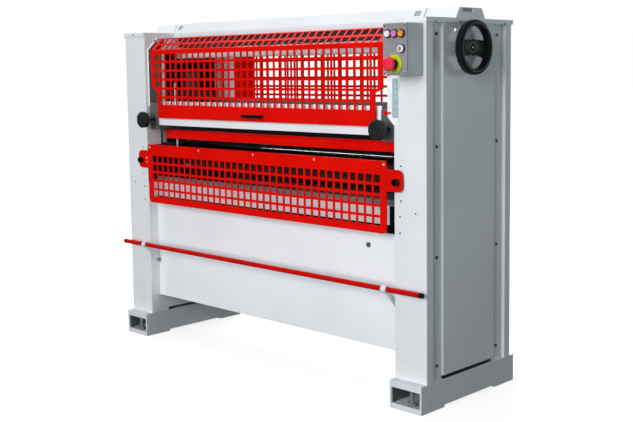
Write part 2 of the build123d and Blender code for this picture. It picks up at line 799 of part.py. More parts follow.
def guard_sheet():
    narrow = guard_narrow_half
    right = [(narrow, guard_low), (narrow, guard_step - guard_step_slope), (guard_half, guard_step),
             (guard_half, guard_bend)]
    left = [(-x, z) for x, z in reversed(right)]
    outline = Polygon(*right, *left, align=None)
    outline = fillet(outline.vertices().group_by(Axis.Y)[0], guard_corner)
    top = guard_bend - guard_top_edge
    centres = []
    for row in range(row_count(top - guard_low - guard_band, mesh_pitch)):
        level = top - mesh_hole / 2 - row * mesh_pitch
        half = narrow if level - mesh_hole / 2 < guard_step else guard_half
        centres.extend(mesh_row(half, mesh_edge, mesh_pitch, level))
    front = extrude(Plane.XZ.offset(-front_y - sheet) * perforated(outline, centres), sheet)

    slope = Pos(0, guard_slope / 2) * Rectangle(2 * guard_half, guard_slope)
    centres = []
    for row in range(row_count(guard_slope - 2 * guard_slope_edge, mesh_pitch)):
        level = guard_slope_edge + mesh_hole / 2 + row * mesh_pitch
        centres.extend(mesh_row(guard_half, mesh_edge, mesh_pitch, level))
    plane = Plane(origin=(0, front_y, guard_bend), x_dir=(1, 0, 0), z_dir=(0, -1, 1))
    return front + extrude(plane * perforated(slope, centres), -sheet)


def build_upper_guard():
    y = front_y + sheet
    top = guard_pivot_z + guard_pin
    rim = guard_pin + ear_rim
    points = [(y, guard_bend - ear_depth), (y, guard_bend - 1), (guard_pivot_y - rim + 2, top),
              (guard_pivot_y + rim - 2, top), (guard_pivot_y + rim, guard_pivot_z - rim + 2)]
    ear = slab_x(points, ear_x) + rod_x(rim, ear_x, guard_pivot_y, guard_pivot_z)
    ear -= rod_x(guard_pin + running_gap, ear_x, guard_pivot_y, guard_pivot_z)
    guard = guard_sheet()
    for part in both(ear):
        guard += part
    save("upper_guard", guard)
    save("rear_guard", Rot(0, 0, 180) * guard)

    z = guard_low + handle_rise
    bar_depth = (front_y - handle_gap - handle_thickness, front_y - handle_gap)
    bar = block((-handle_half, handle_half), bar_depth, (z - handle_half_height, z + handle_half_height))
    bar = fillet(bar.edges().filter_by(Axis.X), handle_half_height - 2.5)
    for x in (handle_post_inset - handle_half, handle_half - handle_post_inset):
        bar += rod_y(handle_post, x, (bar_depth[1] - 2, front_y), z)
    save("guard_handle", bar)


def build_lower_guard():
    y = lower_y
    lug_z = (lower_high - lug_low, lower_high - lug_high)
    right = [(lower_half, lower_low), (lower_half, lug_z[0]), (lug_tip, lug_z[0]), (lug_tip, lug_z[1]),
             (lower_half, lug_z[1]), (lower_half, lower_high)]
    left = [(-x, z) for x, z in reversed(right)]
    outline = Polygon(*right, *left, align=None)
    tips = [corner for corner in outline.vertices() if abs(corner.X) > lower_half + 1]
    outline = fillet(tips, lug_corner)
    feet = [corner for corner in outline.vertices() if corner.Y < lower_low + 1]
    outline = fillet(feet, lower_corner)
    centres = []
    for row in range(row_count(lower_height - lower_band - lower_top_band, mesh_pitch)):
        level = lower_low + lower_band + mesh_hole / 2 + row * mesh_pitch
        centres.extend(mesh_row(lower_half, lower_edge, lower_pitch, level))
    guard = extrude(Plane.XZ.offset(-y - sheet) * perforated(outline, centres), sheet)
    flange_half = lower_half - lower_knuckle
    guard += block((-flange_half, flange_half), (y, y + lower_flange), (lower_high - sheet, lower_high))
    knuckle = lower_knuckle / 2
    for hinge_x in (-lower_hinge_x, lower_hinge_x):
        for centre in (hinge_x - lower_knuckle - 1, hinge_x + lower_knuckle + 1):
            span = (centre - knuckle, centre + knuckle)
            tab = block(span, (y, lower_pivot_y), (lower_pivot_z - knuckle, lower_pivot_z + knuckle))
            tab += rod_x(knuckle, span, lower_pivot_y, lower_pivot_z)
            guard += tab - rod_x(lower_pin + running_gap, span, lower_pivot_y, lower_pivot_z)
    for x in (-lug_knob_x, lug_knob_x):
        guard -= rod_y(lug_thread + running_gap, x, (y, y + sheet), lug_knob_z)
    save("lower_guard", guard)

    screw = rod_y(lug_knob_radius, lug_knob_x, (y - 16, y - 3), lug_knob_z)
    screw = fillet(screw.edges().group_by(Axis.Y)[0], 3)
    screw += rod_y(2 * lug_thread, lug_knob_x, (y - 4, y - 0.2), lug_knob_z)
    screw += rod_y(lug_thread, lug_knob_x, (y - 1, front_y + 2 * post_wall), lug_knob_z)
    save("guard_knob_right", screw)
    save("guard_knob_left", other_side(screw))


def build_pins():
    pins = []
    for y in (guard_pivot_y, -guard_pivot_y):
        pins.extend(both(rod_x(guard_pin, (ear_x[0] - 6, inner_x), y, guard_pivot_z)))
    for x in (-lower_hinge_x, lower_hinge_x):
        arm = block((x - 5, x + 5), (lower_pivot_y - lower_pin - 1, panel_y),
                    (lower_pivot_z - lower_pin - 1.5, lower_pivot_z + lower_pin + 1.5))
        reach = 1.5 * lower_knuckle + 2
        pins.append(arm + rod_x(lower_pin, (x - reach, x + reach), lower_pivot_y, lower_pivot_z))
    pins.extend(both(rod_x(bar_pin, (bar_arm_x - bar_pin_reach, inner_x), bar_pivot_y, bar_pivot_z)))
    save("hinge_pins", *pins)


def build_knee_bar():
    bar_half = outer_x + bar_overhang
    save("knee_bar", rod_x(bar_radius, (-bar_half, bar_half), bar_y, bar_z))

    length = sqrt((bar_y - bar_pivot_y)**2 + (bar_z - bar_pivot_z)**2)
    along = ((bar_y - bar_pivot_y) / length, (bar_z - bar_pivot_z) / length)
    side = (-along[1] * bar_arm_width, along[0] * bar_arm_width)
    points = [(bar_pivot_y + side[0], bar_pivot_z + side[1]), (bar_y + side[0], bar_z + side[1]),
              (bar_y - side[0], bar_z - side[1]), (bar_pivot_y - side[0], bar_pivot_z - side[1])]
    arms = []
    for centre in (-bar_arm_x, bar_arm_x):
        x = (centre - bar_arm_half, centre + bar_arm_half)
        clamp_x = (x[1] - bar_clamp_length, x[1])
        arm = slab_x(points, x) + rod_x(bar_pin + 4, x, bar_pivot_y, bar_pivot_z)
        arm += rod_x(bar_clamp, clamp_x, bar_y, bar_z)
        arm -= rod_x(bar_pin + running_gap, x, bar_pivot_y, bar_pivot_z)
        arms.append(arm - rod_x(bar_radius, clamp_x, bar_y, bar_z))
    save("knee_bar_arms", *arms)


def build_box():
    inside_x = (box_x[0] + box_wall, box_x[1] - box_wall)
    inside_z = (box_z[0] + box_wall, box_z[1] - box_wall)
    lid_y = (box_front, box_front + lid_thickness)
    case = block(box_x, (lid_y[1], front_y), box_z)
    save("control_box", case - block(inside_x, (lid_y[1], front_y - box_wall), inside_z))

    row = box_z[1] - button_drop
    spots = [(box_mid_x + step * button_pitch, row) for step in (-1, 0, 1)]
    spots.append((box_mid_x + button_pitch, box_z[1] - selector_drop))
    lid = block(box_x, lid_y, box_z)
    lid = fillet(lid.edges().filter_by(Axis.Y), lid_corner)
    bezels = []
    bezel_y = (box_front - bezel_height, box_front)
    for x, z in spots:
        lid -= rod_y(button_shank + button_room, x, lid_y, z)
        ring = rod_y(bezel_radius, x, bezel_y, z)
        ring = fillet(ring.edges().group_by(Axis.Y)[0], 1.5)
        bezels.append(ring - rod_y(button_radius + button_room, x, bezel_y, z))
    save("box_lid", lid - rod_y(stop_shank + button_room, box_mid_x, lid_y, stop_z))
    save("button_bezels", *bezels)

    shank_end = box_front + shank_depth
    for name, (x, z) in zip(("white", "red", "orange"), spots):
        cap = rod_y(button_radius, x, (box_front - button_height, box_front - bezel_height + 1), z)
        cap = fillet(cap.edges().group_by(Axis.Y)[0], 1.5)
        shank = rod_y(button_shank, x, (box_front - bezel_height, shank_end), z)
        save(f"button_{name}", cap + shank)

    x, z = spots[3]
    dial = rod_y(button_radius, x, (box_front - button_height + 1, box_front - 1), z)
    grip_x = (x - selector_grip / 2, x + selector_grip / 2)
    dial += block(grip_x, (box_front - 17, box_front - 8), (z - 10, z + 10))
    save("selector_knob", dial + rod_y(button_shank, x, (box_front - 2, shank_end), z))

    collar_y = (box_front - collar_height, box_front)
    collar = rod_y(collar_radius, box_mid_x, collar_y, stop_z)
    save("stop_collar", collar - rod_y(stop_stem + 1, box_mid_x, collar_y, stop_z))
    head_y = (box_front - stop_height, box_front - stop_height + stop_head)
    head = rod_y(stop_radius, box_mid_x, head_y, stop_z)
    head = fillet(head.edges().group_by(Axis.Y)[0], stop_head - 7)
    head += rod_y(stop_stem, box_mid_x, (head_y[1] - 1, collar_y[0] - 1), stop_z)
    shank = rod_y(stop_shank, box_mid_x, (collar_y[0] - 2, shank_end), stop_z)
    save("stop_button", head + shank)


def build_scale():
    corner = [(scale_x[0], scale_z[0] + scale_corner), (scale_x[0] + scale_corner, scale_z[0])]
    right = [(scale_x[1], scale_z[0]), (scale_x[1], scale_z[1])]
    shape = Polygon((scale_x[0], scale_z[1]), *corner, *right, align=None)
    save("scale_plate", extrude(Plane.XZ.offset(-front_y) * shape, scale_thickness))
    strip_x = (scale_x[0] + strip_inset, scale_x[0] + strip_inset + strip_width)
    strip_y = (front_y - scale_thickness - strip_thickness, front_y - scale_thickness)
    save("scale_strip", block(strip_x, strip_y, (doctor_high_z + strip_low, doctor_high_z + strip_high)))


def build_inlet():
    flange_end = rear_y + 8
    gland = rod_y(inlet_flange, column_mid_x, (rear_y, flange_end), inlet_z)
    gland += rod_y(inlet_neck, column_mid_x, (flange_end - 1, rear_y + inlet_length), inlet_z)
    save("power_inlet", gland - rod_y(inlet_bore, column_mid_x, (rear_y + 4, rear_y + inlet_length), inlet_z))


build_feet()
build_columns()
build_tops()
build_panels()
build_screws()
build_bearing_plates()
build_rolls()
build_motors()
build_upper_unit()
build_end_brackets()
build_lift()
build_handwheel()
build_upper_guard()
build_lower_guard()
build_pins()
build_knee_bar()
build_box()
build_scale()
build_inlet()
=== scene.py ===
import json
from math import cos, pi, radians, sin
import bmesh
import bpy
from mathutils import Matrix, Vector


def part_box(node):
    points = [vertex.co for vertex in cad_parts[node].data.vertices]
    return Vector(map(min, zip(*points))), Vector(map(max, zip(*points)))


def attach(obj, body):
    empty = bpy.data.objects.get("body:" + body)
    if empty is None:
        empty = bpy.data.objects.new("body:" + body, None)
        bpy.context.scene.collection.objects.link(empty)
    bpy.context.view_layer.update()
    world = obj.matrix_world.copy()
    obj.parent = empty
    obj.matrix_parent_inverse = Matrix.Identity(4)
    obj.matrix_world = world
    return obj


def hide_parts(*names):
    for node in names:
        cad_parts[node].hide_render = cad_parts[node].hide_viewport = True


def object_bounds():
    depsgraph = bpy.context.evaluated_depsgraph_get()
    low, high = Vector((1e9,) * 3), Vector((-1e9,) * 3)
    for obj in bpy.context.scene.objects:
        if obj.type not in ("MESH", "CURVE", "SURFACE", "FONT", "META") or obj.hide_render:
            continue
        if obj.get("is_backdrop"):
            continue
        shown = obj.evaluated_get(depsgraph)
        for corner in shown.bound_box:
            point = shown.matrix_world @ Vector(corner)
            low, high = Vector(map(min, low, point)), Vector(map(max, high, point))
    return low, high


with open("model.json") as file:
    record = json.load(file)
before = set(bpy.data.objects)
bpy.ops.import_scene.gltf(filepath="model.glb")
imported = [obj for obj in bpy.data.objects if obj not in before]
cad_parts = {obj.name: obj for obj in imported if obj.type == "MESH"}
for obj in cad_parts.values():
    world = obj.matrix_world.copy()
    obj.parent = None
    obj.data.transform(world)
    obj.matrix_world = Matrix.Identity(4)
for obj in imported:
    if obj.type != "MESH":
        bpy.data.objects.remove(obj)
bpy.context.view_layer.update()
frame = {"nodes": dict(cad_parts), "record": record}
nodes = frame["nodes"]
bodyOf = {node: body for body, group in frame["record"]["behaviour"]["bodies"].items() for node in group}
slotOf = {part["node"]: part["material_slot"] for part in frame["record"]["subparts"]}
ends = {"left": -1, "right": 1}  # the machine's two ends, and the sign of X there
sides = tuple(ends.values())
print("frame loaded:", len(nodes), "nodes")


class Wire:
    # one socket of a node tree, and the maths that is done on it

    def __init__(self, tree, socket=None):
        self.tree = tree
        self.socket = socket

    def node(self, kind, settings=None, sockets=None, output=0):
        made = self.tree.nodes.new(kind)
        for name, value in (settings or {}).items():
            if name == "stops":
                setStops(made.color_ramp, value)
            else:
                setattr(made, name, value)
        for name, value in (sockets or {}).items():
            for item in value if isinstance(value, list) else [value]:
                if isinstance(item, Wire):
                    self.tree.links.new(item.socket, made.inputs[name])
                else:
                    made.inputs[name].default_value = item
        return Wire(self.tree, made.outputs[output])

    def math(self, operation, first, second):
        return self.node("ShaderNodeMath", {"operation": operation}, {0: first, 1: second})

    def __add__(self, other):
        return self.math("ADD", self, other)

    def __sub__(self, other):
        return self.math("SUBTRACT", self, other)

    def __rsub__(self, other):
        return self.math("SUBTRACT", other, self)

    def __mul__(self, other):
        return self.math("MULTIPLY", self, other)

    def __truediv__(self, other):
        return self.math("DIVIDE", self, other)

    def __gt__(self, other):
        return self.math("GREATER_THAN", self, other)

    def __lt__(self, other):
        return self.math("LESS_THAN", self, other)

    def __abs__(self):
        return self.math("ABSOLUTE", self, 0.0)

    def __mod__(self, other):
        return self.math("FLOORED_MODULO", self, other)

    __radd__ = __add__
    __rmul__ = __mul__

    def mix(self, first, second):
        # this wire is the share of the second colour
        sockets = {0: self, 6: first, 7: second}
        return self.node("ShaderNodeMix", {"data_type": "RGBA"}, sockets, 2)


def setStops(ramp, stops):
    while len(ramp.elements) < len(stops):
        ramp.elements.new(1.0)
    for element, (place, colour) in zip(ramp.elements, stops):
        element.position = place
        element.color = paintOf(colour)


def paintOf(colour):
    return (*colour, 1.0)


def lifted(look, lift):
    # a look's colour and its shade, made lighter or darker
    return [paintOf([lift * part for part in look[key]]) for key in ("colour", "shade")]


def noise(coords, scale, detail=3.0):
    return coords.node("ShaderNodeTexNoise", {}, {"Vector": coords, "Scale": scale, "Detail": detail})


def step(wire, low, high):
    sockets = {"Value": wire, "From Min": low, "From Max": high}
    return wire.node("ShaderNodeMapRange", {"interpolation_type": "SMOOTHSTEP"}, sockets)


def clouds(coords, scale, low=0.35, high=0.70):
    return step(noise(coords, scale), low, high)


def scaled(coords, scale):
    return coords.node("ShaderNodeMapping", {}, {"Vector": coords, "Scale": scale})


def along(coords, axis):
    return coords.node("ShaderNodeSeparateXYZ", {}, {0: coords}, axis)


def inside(coords, low, high):
    # 1 where a point lies between the corners, on either side of the machine
    share = 1.0
    for axis, near, far in zip("XYZ", low, high):
        place = abs(along(coords, axis))
        share = (place > near) * (place < far) * share
    return share


def bump(height, strength, distance):
    sockets = {"Strength": strength, "Distance": distance, "Height": height}
    return height.node("ShaderNodeBump", {}, sockets)


def newMaterial(name):
    material = bpy.data.materials.new(name)
    material.use_nodes = True
    tree = material.node_tree
    coords = Wire(tree).node("ShaderNodeTexCoord", output="Object")
    return material, tree.nodes["Principled BSDF"], coords


def feed(shader, values):
    for name, value in values.items():
        if isinstance(value, Wire):
            value.tree.links.new(value.socket, shader.inputs[name])
        else:
            shader.inputs[name].default_value = value


# painted light and shade over the coat: low corner, high corner and colour of each patch; dark reddish inside
# the columns and covers and grey inside the feet is painted shade, and the brighter inner face of the columns
# is painted light
powderCoat = {"colour": (0.79, 0.825, 0.86), "shade": (0.74, 0.775, 0.81), "dust": (0.60, 0.59, 0.56),
              "clouds": 2.6, "rough": 0.40, "peel": 620, "peelBump": (0.10, 0.0006),
              "dustTop": 0.30, "dustSpecks": 22, "dustShare": 0.35,
              "patches": [((0.690, -1, 0.100), (0.8065, 0.2388, 1.285), (0.052, 0.026, 0.046)),
                          ((0.806, -1, 0.110), (0.8158, 0.1435, 1.280), (0.052, 0.026, 0.046)),
                          ((0.6885, -1, 0.0165), (0.8185, 0.2625, 0.0765), (0.115, 0.120, 0.122)),
                          ((0.6840, -1, 0.096), (0.6860, 0.2500, 1.300), (0.93, 0.96, 0.98))]}


def powderCoatPaint(name="powderCoat", lift=1.0):
    look = powderCoat
    material, shader, coords = newMaterial(name)
    low = step(along(coords, "Z"), look["dustTop"], 0.0)
    dust = low * step(noise(coords, look["dustSpecks"], 5.0), 0.45, 0.75) * look["dustShare"]
    clean = clouds(coords, look["clouds"]).mix(*lifted(look, lift))
    coat = dust.mix(clean, paintOf(look["dust"]))
    # lay the patches of painted shade and painted light over the coat
    for start, end, colour in look["patches"]:
        coat = inside(coords, start, end).mix(coat, paintOf(colour))
    feed(shader, {"Base Color": coat,
                  "Roughness": look["rough"] + 0.10 * noise(coords, 30) + 0.15 * dust,
                  "Normal": bump(noise(coords, look["peel"], 1.0), *look["peelBump"])})
    return material


redEnamel = {"colour": (0.76, 0.0042, 0.0010), "shade": (0.67, 0.0030, 0.0010), "cap": (0.012, 0.012, 0.013),
             "clouds": 5.0, "rough": 0.34, "gloss": 0.18, "peel": 420, "peelBump": (0.08, 0.0006)}


def redEnamelPaint(name="redEnamel", capFrom=None, lift=1.0):
    look = redEnamel
    material, shader, coords = newMaterial(name)
    colour = clouds(coords, look["clouds"], 0.35, 0.75).mix(*lifted(look, lift))
    if capFrom:  # a bar with black end caps, from that X outwards
        across = along(coords, "X")
        colour = (across * across > capFrom * capFrom).mix(colour, paintOf(look["cap"]))
    feed(shader, {"Base Color": colour, "Roughness": look["rough"] + 0.14 * noise(coords, 40),
                  "Specular IOR Level": look["gloss"],
                  "Normal": bump(noise(coords, look["peel"], 1.0), *look["peelBump"])})
    return material


rollRubber = {"colour": (0.055, 0.055, 0.058), "shade": (0.035, 0.035, 0.037), "clouds": 14, "rough": 0.55,
              "pitch": 0.0016, "grooveBump": (0.35, 0.0005)}


def rollRubberSkin():
    look = rollRubber
    material, shader, coords = newMaterial("rollRubber")
    turns = along(coords, "X") / look["pitch"]
    groove = step((turns % 1.0 - 0.5) * (turns % 1.0 - 0.5), 0.02, 0.16)
    feed(shader, {"Base Color": clouds(coords, look["clouds"]).mix(*lifted(look, 1.0)),
                  "Roughness": look["rough"] + 0.15 * noise(coords, 60),
                  "Normal": bump(groove, *look["grooveBump"])})
    return material


turned = (1800.0, 40.0, 40.0)  # marks round an axis along X
upright = (60.0, 60.0, 1400.0)  # marks round an upright axis
rolled = (6.0, 900.0, 900.0)  # marks along X
combed = (500, 500, 9)  # marks up a sheet
spotty = (160.0, 160.0, 160.0)
# stretch and depth are the tool marks', and spread is what the marks do to the roughness
metalDefaults = {"spread": 0.12, "metallic": 1.0}
metals = {
    # one grey for the control box, painted lighter on the box and darker on its front lid: painted light and
    # painted shade
    "boxSheet": {"colour": (0.60, 0.62, 0.63), "shade": (0.56, 0.58, 0.59), "rough": 0.45,
                 "stretch": combed, "depth": 0.05, "metallic": 0.15},
    "lidSheet": {"colour": (0.31, 0.31, 0.33), "shade": (0.28, 0.28, 0.30), "rough": 0.45,
                 "stretch": combed, "depth": 0.05, "metallic": 0.1},
    "zincPlate": {"colour": (0.78, 0.79, 0.80), "shade": (0.68, 0.68, 0.66), "rough": 0.32,
                  "stretch": spotty, "depth": 0.10, "metallic": 0.3},
    "turnedSteel": {"colour": (0.80, 0.81, 0.83), "shade": (0.72, 0.73, 0.75), "rough": 0.30,
                    "stretch": turned, "depth": 0.06, "metallic": 0.35},
    # darker than bare stainless: painted shade of the rolls above the drip tray
    "brushedSheet": {"colour": (0.33, 0.335, 0.345), "shade": (0.27, 0.275, 0.285), "rough": 0.30,
                     "stretch": rolled, "depth": 0.08, "metallic": 0.3},
    # a dark chrome: its low brightness is painted shade, so that the rolls mirror dark
    "hardChrome": {"colour": (0.32, 0.33, 0.335), "shade": (0.30, 0.31, 0.315), "rough": 0.10,
                   "stretch": turned, "depth": 0.0, "spread": 0.05},
    "machinedCasting": {"colour": (0.070, 0.066, 0.075), "shade": (0.050, 0.047, 0.054), "rough": 0.50,
                        "stretch": spotty, "depth": 0.30, "metallic": 0.3},
    "greyCasting": {"colour": (0.14, 0.15, 0.15), "shade": (0.11, 0.12, 0.12), "rough": 0.5,
                    "stretch": spotty, "depth": 0.2, "metallic": 0.1},
    "motorAlloy": {"colour": (0.16, 0.165, 0.18), "shade": (0.12, 0.125, 0.14), "rough": 0.50,
                   "stretch": spotty, "depth": 0.25, "metallic": 0.4},
    "bronze": {"colour": (0.60, 0.42, 0.20), "shade": (0.48, 0.31, 0.14), "rough": 0.35,
               "stretch": spotty, "depth": 0.15},
    "scaleStrip": {"colour": (0.40, 0.55, 0.61), "shade": (0.37, 0.52, 0.58), "rough": 0.45,
                   "stretch": (9, 500, 700), "depth": 0.05, "metallic": 0.0},
    "darkScrew": {"colour": (0.16, 0.165, 0.17), "shade": (0.10, 0.10, 0.11), "rough": 0.38,
                  "stretch": spotty, "depth": 0.10},
    "boltSteel": {"colour": (0.30, 0.31, 0.32), "shade": (0.20, 0.21, 0.22), "rough": 0.42,
                  "stretch": upright, "depth": 0.20, "metallic": 0.3},
    "oiledSteel": {"colour": (0.12, 0.12, 0.125), "shade": (0.08, 0.08, 0.085), "rough": 0.35,
                   "stretch": turned, "depth": 0.10, "metallic": 0.4},
    "plateAlloy": {"colour": (0.88, 0.89, 0.90), "shade": (0.84, 0.85, 0.86), "rough": 0.24,
                   "stretch": rolled, "depth": 0.02, "spread": 0.04, "metallic": 0.45},
}


def metal(name):
    look = {**metalDefaults, **metals[name]}
    material, shader, coords = newMaterial(name)
    marks = noise(scaled(coords, look["stretch"]), 1.0, 4.0)
    cloud = clouds(coords, 9.0)
    feed(shader, {"Base Color": cloud.mix(*lifted(look, 1.0)), "Metallic": look["metallic"],
                  "Roughness": look["rough"] + look["spread"] * (marks - 0.5) + 0.05 * cloud,
                  "Normal": bump(marks, look["depth"], 0.0004)})
    return material


mouldedDefaults = {"grain": 900, "coat": 0.0, "gloss": 0.35}
mouldings = {
    "blackMoulding": {"colour": (0.008, 0.008, 0.009), "rough": 0.40, "grain": 700, "gloss": 0.22},
    "knobMoulding": {"colour": (0.021, 0.024, 0.025), "rough": 0.42, "grain": 700, "gloss": 0.22},
    "darkMoulding": {"colour": (0.03, 0.03, 0.033), "rough": 0.30},
    # the ties' near black is painted shade, for the shade behind the guard
    "darkTie": {"colour": (0.045, 0.045, 0.05), "rough": 0.5, "grain": 500},
    "whiteButton": {"colour": (0.85, 0.86, 0.85), "rough": 0.22, "coat": 0.3},
    "redButton": {"colour": (0.88, 0.035, 0.07), "rough": 0.22, "coat": 0.3},
    "orangeButton": {"colour": (0.85, 0.33, 0.04), "rough": 0.22, "coat": 0.3},
    "pinkLens": {"colour": (0.75, 0.20, 0.55), "rough": 0.18, "coat": 0.4},
    "yellowCollar": {"colour": (0.62, 0.68, 0.03), "rough": 0.30},
    "whitePlate": {"colour": (0.94, 0.94, 0.95), "rough": 0.35, "coat": 0.2},
    "greenDial": {"colour": (0.22, 0.30, 0.20), "rough": 0.25, "coat": 0.3},
    "linerGrey": {"colour": (0.46, 0.48, 0.49), "rough": 0.5},
    "cheekGrey": {"colour": (0.165, 0.185, 0.170), "rough": 0.5},
    "scaleInk": {"colour": (0.16, 0.25, 0.29), "rough": 0.5},
}


def moulded(name):
    look = {**mouldedDefaults, **mouldings[name]}
    material, shader, coords = newMaterial(name)
    shade = tuple(0.86 * part for part in look["colour"])
    colour = clouds(coords, 30, 0.40, 0.70).mix(paintOf(look["colour"]), paintOf(shade))
    feed(shader, {"Base Color": colour, "Roughness": look["rough"] + 0.12 * (noise(coords, 160) - 0.5),
                  "Coat Weight": look["coat"], "Specular IOR Level": look["gloss"],
                  "Normal": bump(noise(coords, look["grain"], 1.0), 0.10, 0.0003)})
    return material


finishes = {
    "white_paint": powderCoatPaint(),
    "red_paint": redEnamelPaint(),
    "roll_rubber": rollRubberSkin(),
    "grey_box_paint": metal("boxSheet"),
    "zinc_steel": metal("zincPlate"),
    "bright_steel": metal("turnedSteel"),
    "stainless": metal("brushedSheet"),
    "chrome": metal("hardChrome"),
    "casting": metal("machinedCasting"),
    "motor_alloy": metal("motorAlloy"),
    "bronze": metal("bronze"),
    "dial_alloy": metal("scaleStrip"),
    "black_plastic": moulded("blackMoulding"),
    "dark_plastic": moulded("darkMoulding"),
    "white_button": moulded("whiteButton"),
    "red_button": moulded("redButton"),
    "orange_button": moulded("orangeButton"),
    "yellow_collar": moulded("yellowCollar"),
    "white_plate": moulded("whitePlate"),
    "green_dial": moulded("greenDial"),
}
greyCasting = metal("greyCasting")
boltSteel = metal("boltSteel")
oiledSteel = metal("oiledSteel")
# the beam's white made lighter, painted light where the guard shades it; the beam's lip shares it
beamCoat = powderCoatPaint("beamCoat", 1.10)
# nodes whose finish differs from their slot; for beam, panel, feet and knee bar it is painted light and shade
workLooks = {
    "lift_screw_left": oiledSteel,
    "lift_screw_right": oiledSteel,
    "end_brackets": greyCasting,
    # the ties get a near-black colour as painted shade
    "frame_ties": moulded("darkTie"),
    # the knee bar's red made darker, painted shade of a round bar
    "knee_bar": redEnamelPaint("kneeBarEnamel", 0.814, 0.78),
    # the lid's darker grey is painted shade of the box's front
    "box_lid": metal("lidSheet"),
    "upper_beam": beamCoat,
    # the panel's white made lighter and the feet's darker, painted light and painted shade
    "front_panel": powderCoatPaint("panelCoat", 1.10),
    "foot_tubes": powderCoatPaint("footCoat", 0.91),
    "hinge_pins": boltSteel,
    "levelling_bolts": boltSteel,
}
for node, piece in nodes.items():
    piece.data.materials.clear()
    piece.data.materials.append(workLooks.get(node, finishes[slotOf[node]]))
print("finishes given:", len(finishes))


def linked(name, mesh):
    piece = bpy.data.objects.new(name, mesh)
    bpy.context.scene.collection.objects.link(piece)
    return piece


def onBody(piece, body, stoodFor=()):
    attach(piece, body)
    if stoodFor:
        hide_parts(*stoodFor)
    return piece


def smoothed(mesh):
    mesh.polygons.foreach_set("use_smooth", [True] * len(mesh.polygons))


nodeMerge = 0.00002  # corners nearer than this are one
latheMerge = 0.00001


def copied(node):
    # a CAD node's loose triangles, joined
    shape = bmesh.new()
    shape.from_mesh(nodes[node].data)
    bmesh.ops.remove_doubles(shape, verts=shape.verts, dist=nodeMerge)
    return shape


# folded sheet, tube and casting, under the radius that their edges are rounded to
softEdges = {
    0.0020: ["column_posts", "column_caps", "foot_tubes", "hood", "side_covers", "end_brackets",
             "upper_beam"],
    0.0012: ["front_panel", "rear_panel", "inner_walls", "frame_ties", "knee_bar_arms", "trip_flap"],
    0.0015: ["control_box", "box_lid", "bearing_plates", "upper_carriages", "guide_bars", "doctor_blocks"],
    0.0008: ["scale_plate", "drip_tray", "bevel_boxes", "lower_gear_motor", "upper_gear_motor", "lift_nuts"],
}
# bores that a journal turns in: the Y and Z of the axis and the radius
journalBores = {"bearing_plates": ((0.05315, 0.757, 0.02505), (-0.08957, 0.766, 0.02005)),
                "upper_carriages": ((0.05315, 0.934, 0.02505),),
                "doctor_blocks": ((-0.08957, 0.925, 0.02005),)}
boreRoom = 0.0004  # what the facets of a turning journal need
boreReach = 0.0001


def easeBores(shape, bores):
    for y, z, radius in bores:
        for vert in shape.verts:
            spoke = Vector((0, vert.co.y - y, vert.co.z - z))
            if abs(spoke.length - radius) < boreReach:
                vert.co += spoke.normalized() * boreRoom


def softened(node, width):
    shape = copied(node)
    easeBores(shape, journalBores.get(node, ()))
    bmesh.ops.dissolve_limit(shape, angle_limit=radians(0.5), verts=shape.verts, edges=shape.edges)
    mesh = bpy.data.meshes.new(node)
    shape.to_mesh(mesh)
    shape.free()
    smoothed(mesh)
    mesh.materials.append(nodes[node].data.materials[0])
    words = node.split("_")
    piece = linked(words[0] + "".join(word.capitalize() for word in words[1:]) + "Soft", mesh)
    edge = piece.modifiers.new("edge", "BEVEL")
    edge.width = width
    edge.segments = 2
    edge.limit_method = "ANGLE"
    edge.angle_limit = radians(40)
    edge.harden_normals = True
    even = piece.modifiers.new("even", "WEIGHTED_NORMAL")
    even.keep_sharp = True
    return onBody(piece, bodyOf[node], [node])


for width, group in softEdges.items():
    for node in group:
        softened(node, width)
print("edges softened")


def placed(origin, outward):
    turn = Vector((0, 0, 1)).rotation_difference(Vector(outward)).to_matrix().to_4x4()
    return Matrix.Translation(origin) @ turn


def addLathe(shape, profile, place, steps=48, lobes=0, depth=0.0):
    # profile: radius and height pairs; lobes wave the rim
    rings = []
    for radius, height in profile:
        ring = []
        for count in range(steps if radius > 1e-6 else 1):
            angle = 2 * pi * count / steps
            reach = radius * (1 + depth * cos(lobes * angle)) if lobes else radius
            ring.append(shape.verts.new(place @ Vector((reach * cos(angle), reach * sin(angle), height))))
        rings.append(ring)
    for low, high in zip(rings, rings[1:]):
        for count in range(steps):
            corners = [low[count % len(low)], low[(count + 1) % len(low)],
                       high[(count + 1) % len(high)], high[count % len(high)]]
            shape.faces.new(list(dict.fromkeys(corners)))


def addBox(shape, centre, size, edge=0.0, turn=Matrix()):
    # a block with its edges rounded off
    block = bmesh.new()
    bmesh.ops.create_cube(block, size=1.0, matrix=turn.to_4x4() @ Matrix.Diagonal((*size, 1.0)))
    if edge:
        bmesh.ops.bevel(block, geom=block.edges[:], offset=edge, segments=2, affect="EDGES", profile=0.5)
    bmesh.ops.translate(block, verts=block.verts[:], vec=centre)
    held = bpy.data.meshes.new("held")
    block.to_mesh(held)
    block.free()
    shape.from_mesh(held)
    bpy.data.meshes.remove(held)


def finished(name, shape, slot, body, stoodFor=(), angle=35, material=None):
    bmesh.ops.recalc_face_normals(shape, faces=shape.faces)
    mesh = bpy.data.meshes.new(name)
    shape.to_mesh(mesh)
    shape.free()
    mesh.materials.append(material or finishes[slot])
    smoothed(mesh)
    mesh.set_sharp_from_angle(angle=radians(angle))
    return onBody(linked(name, mesh), body, stoodFor)


def rounded(radius, low, high, edge, steps=4):
    # profile of a round cap from its rim at low to its face at high
    points = [(radius, low)]
    for count in range(steps + 1):
        angle = 0.5 * pi * count / steps
        points.append((radius - edge + edge * cos(angle), high - edge + edge * sin(angle)))
    return points


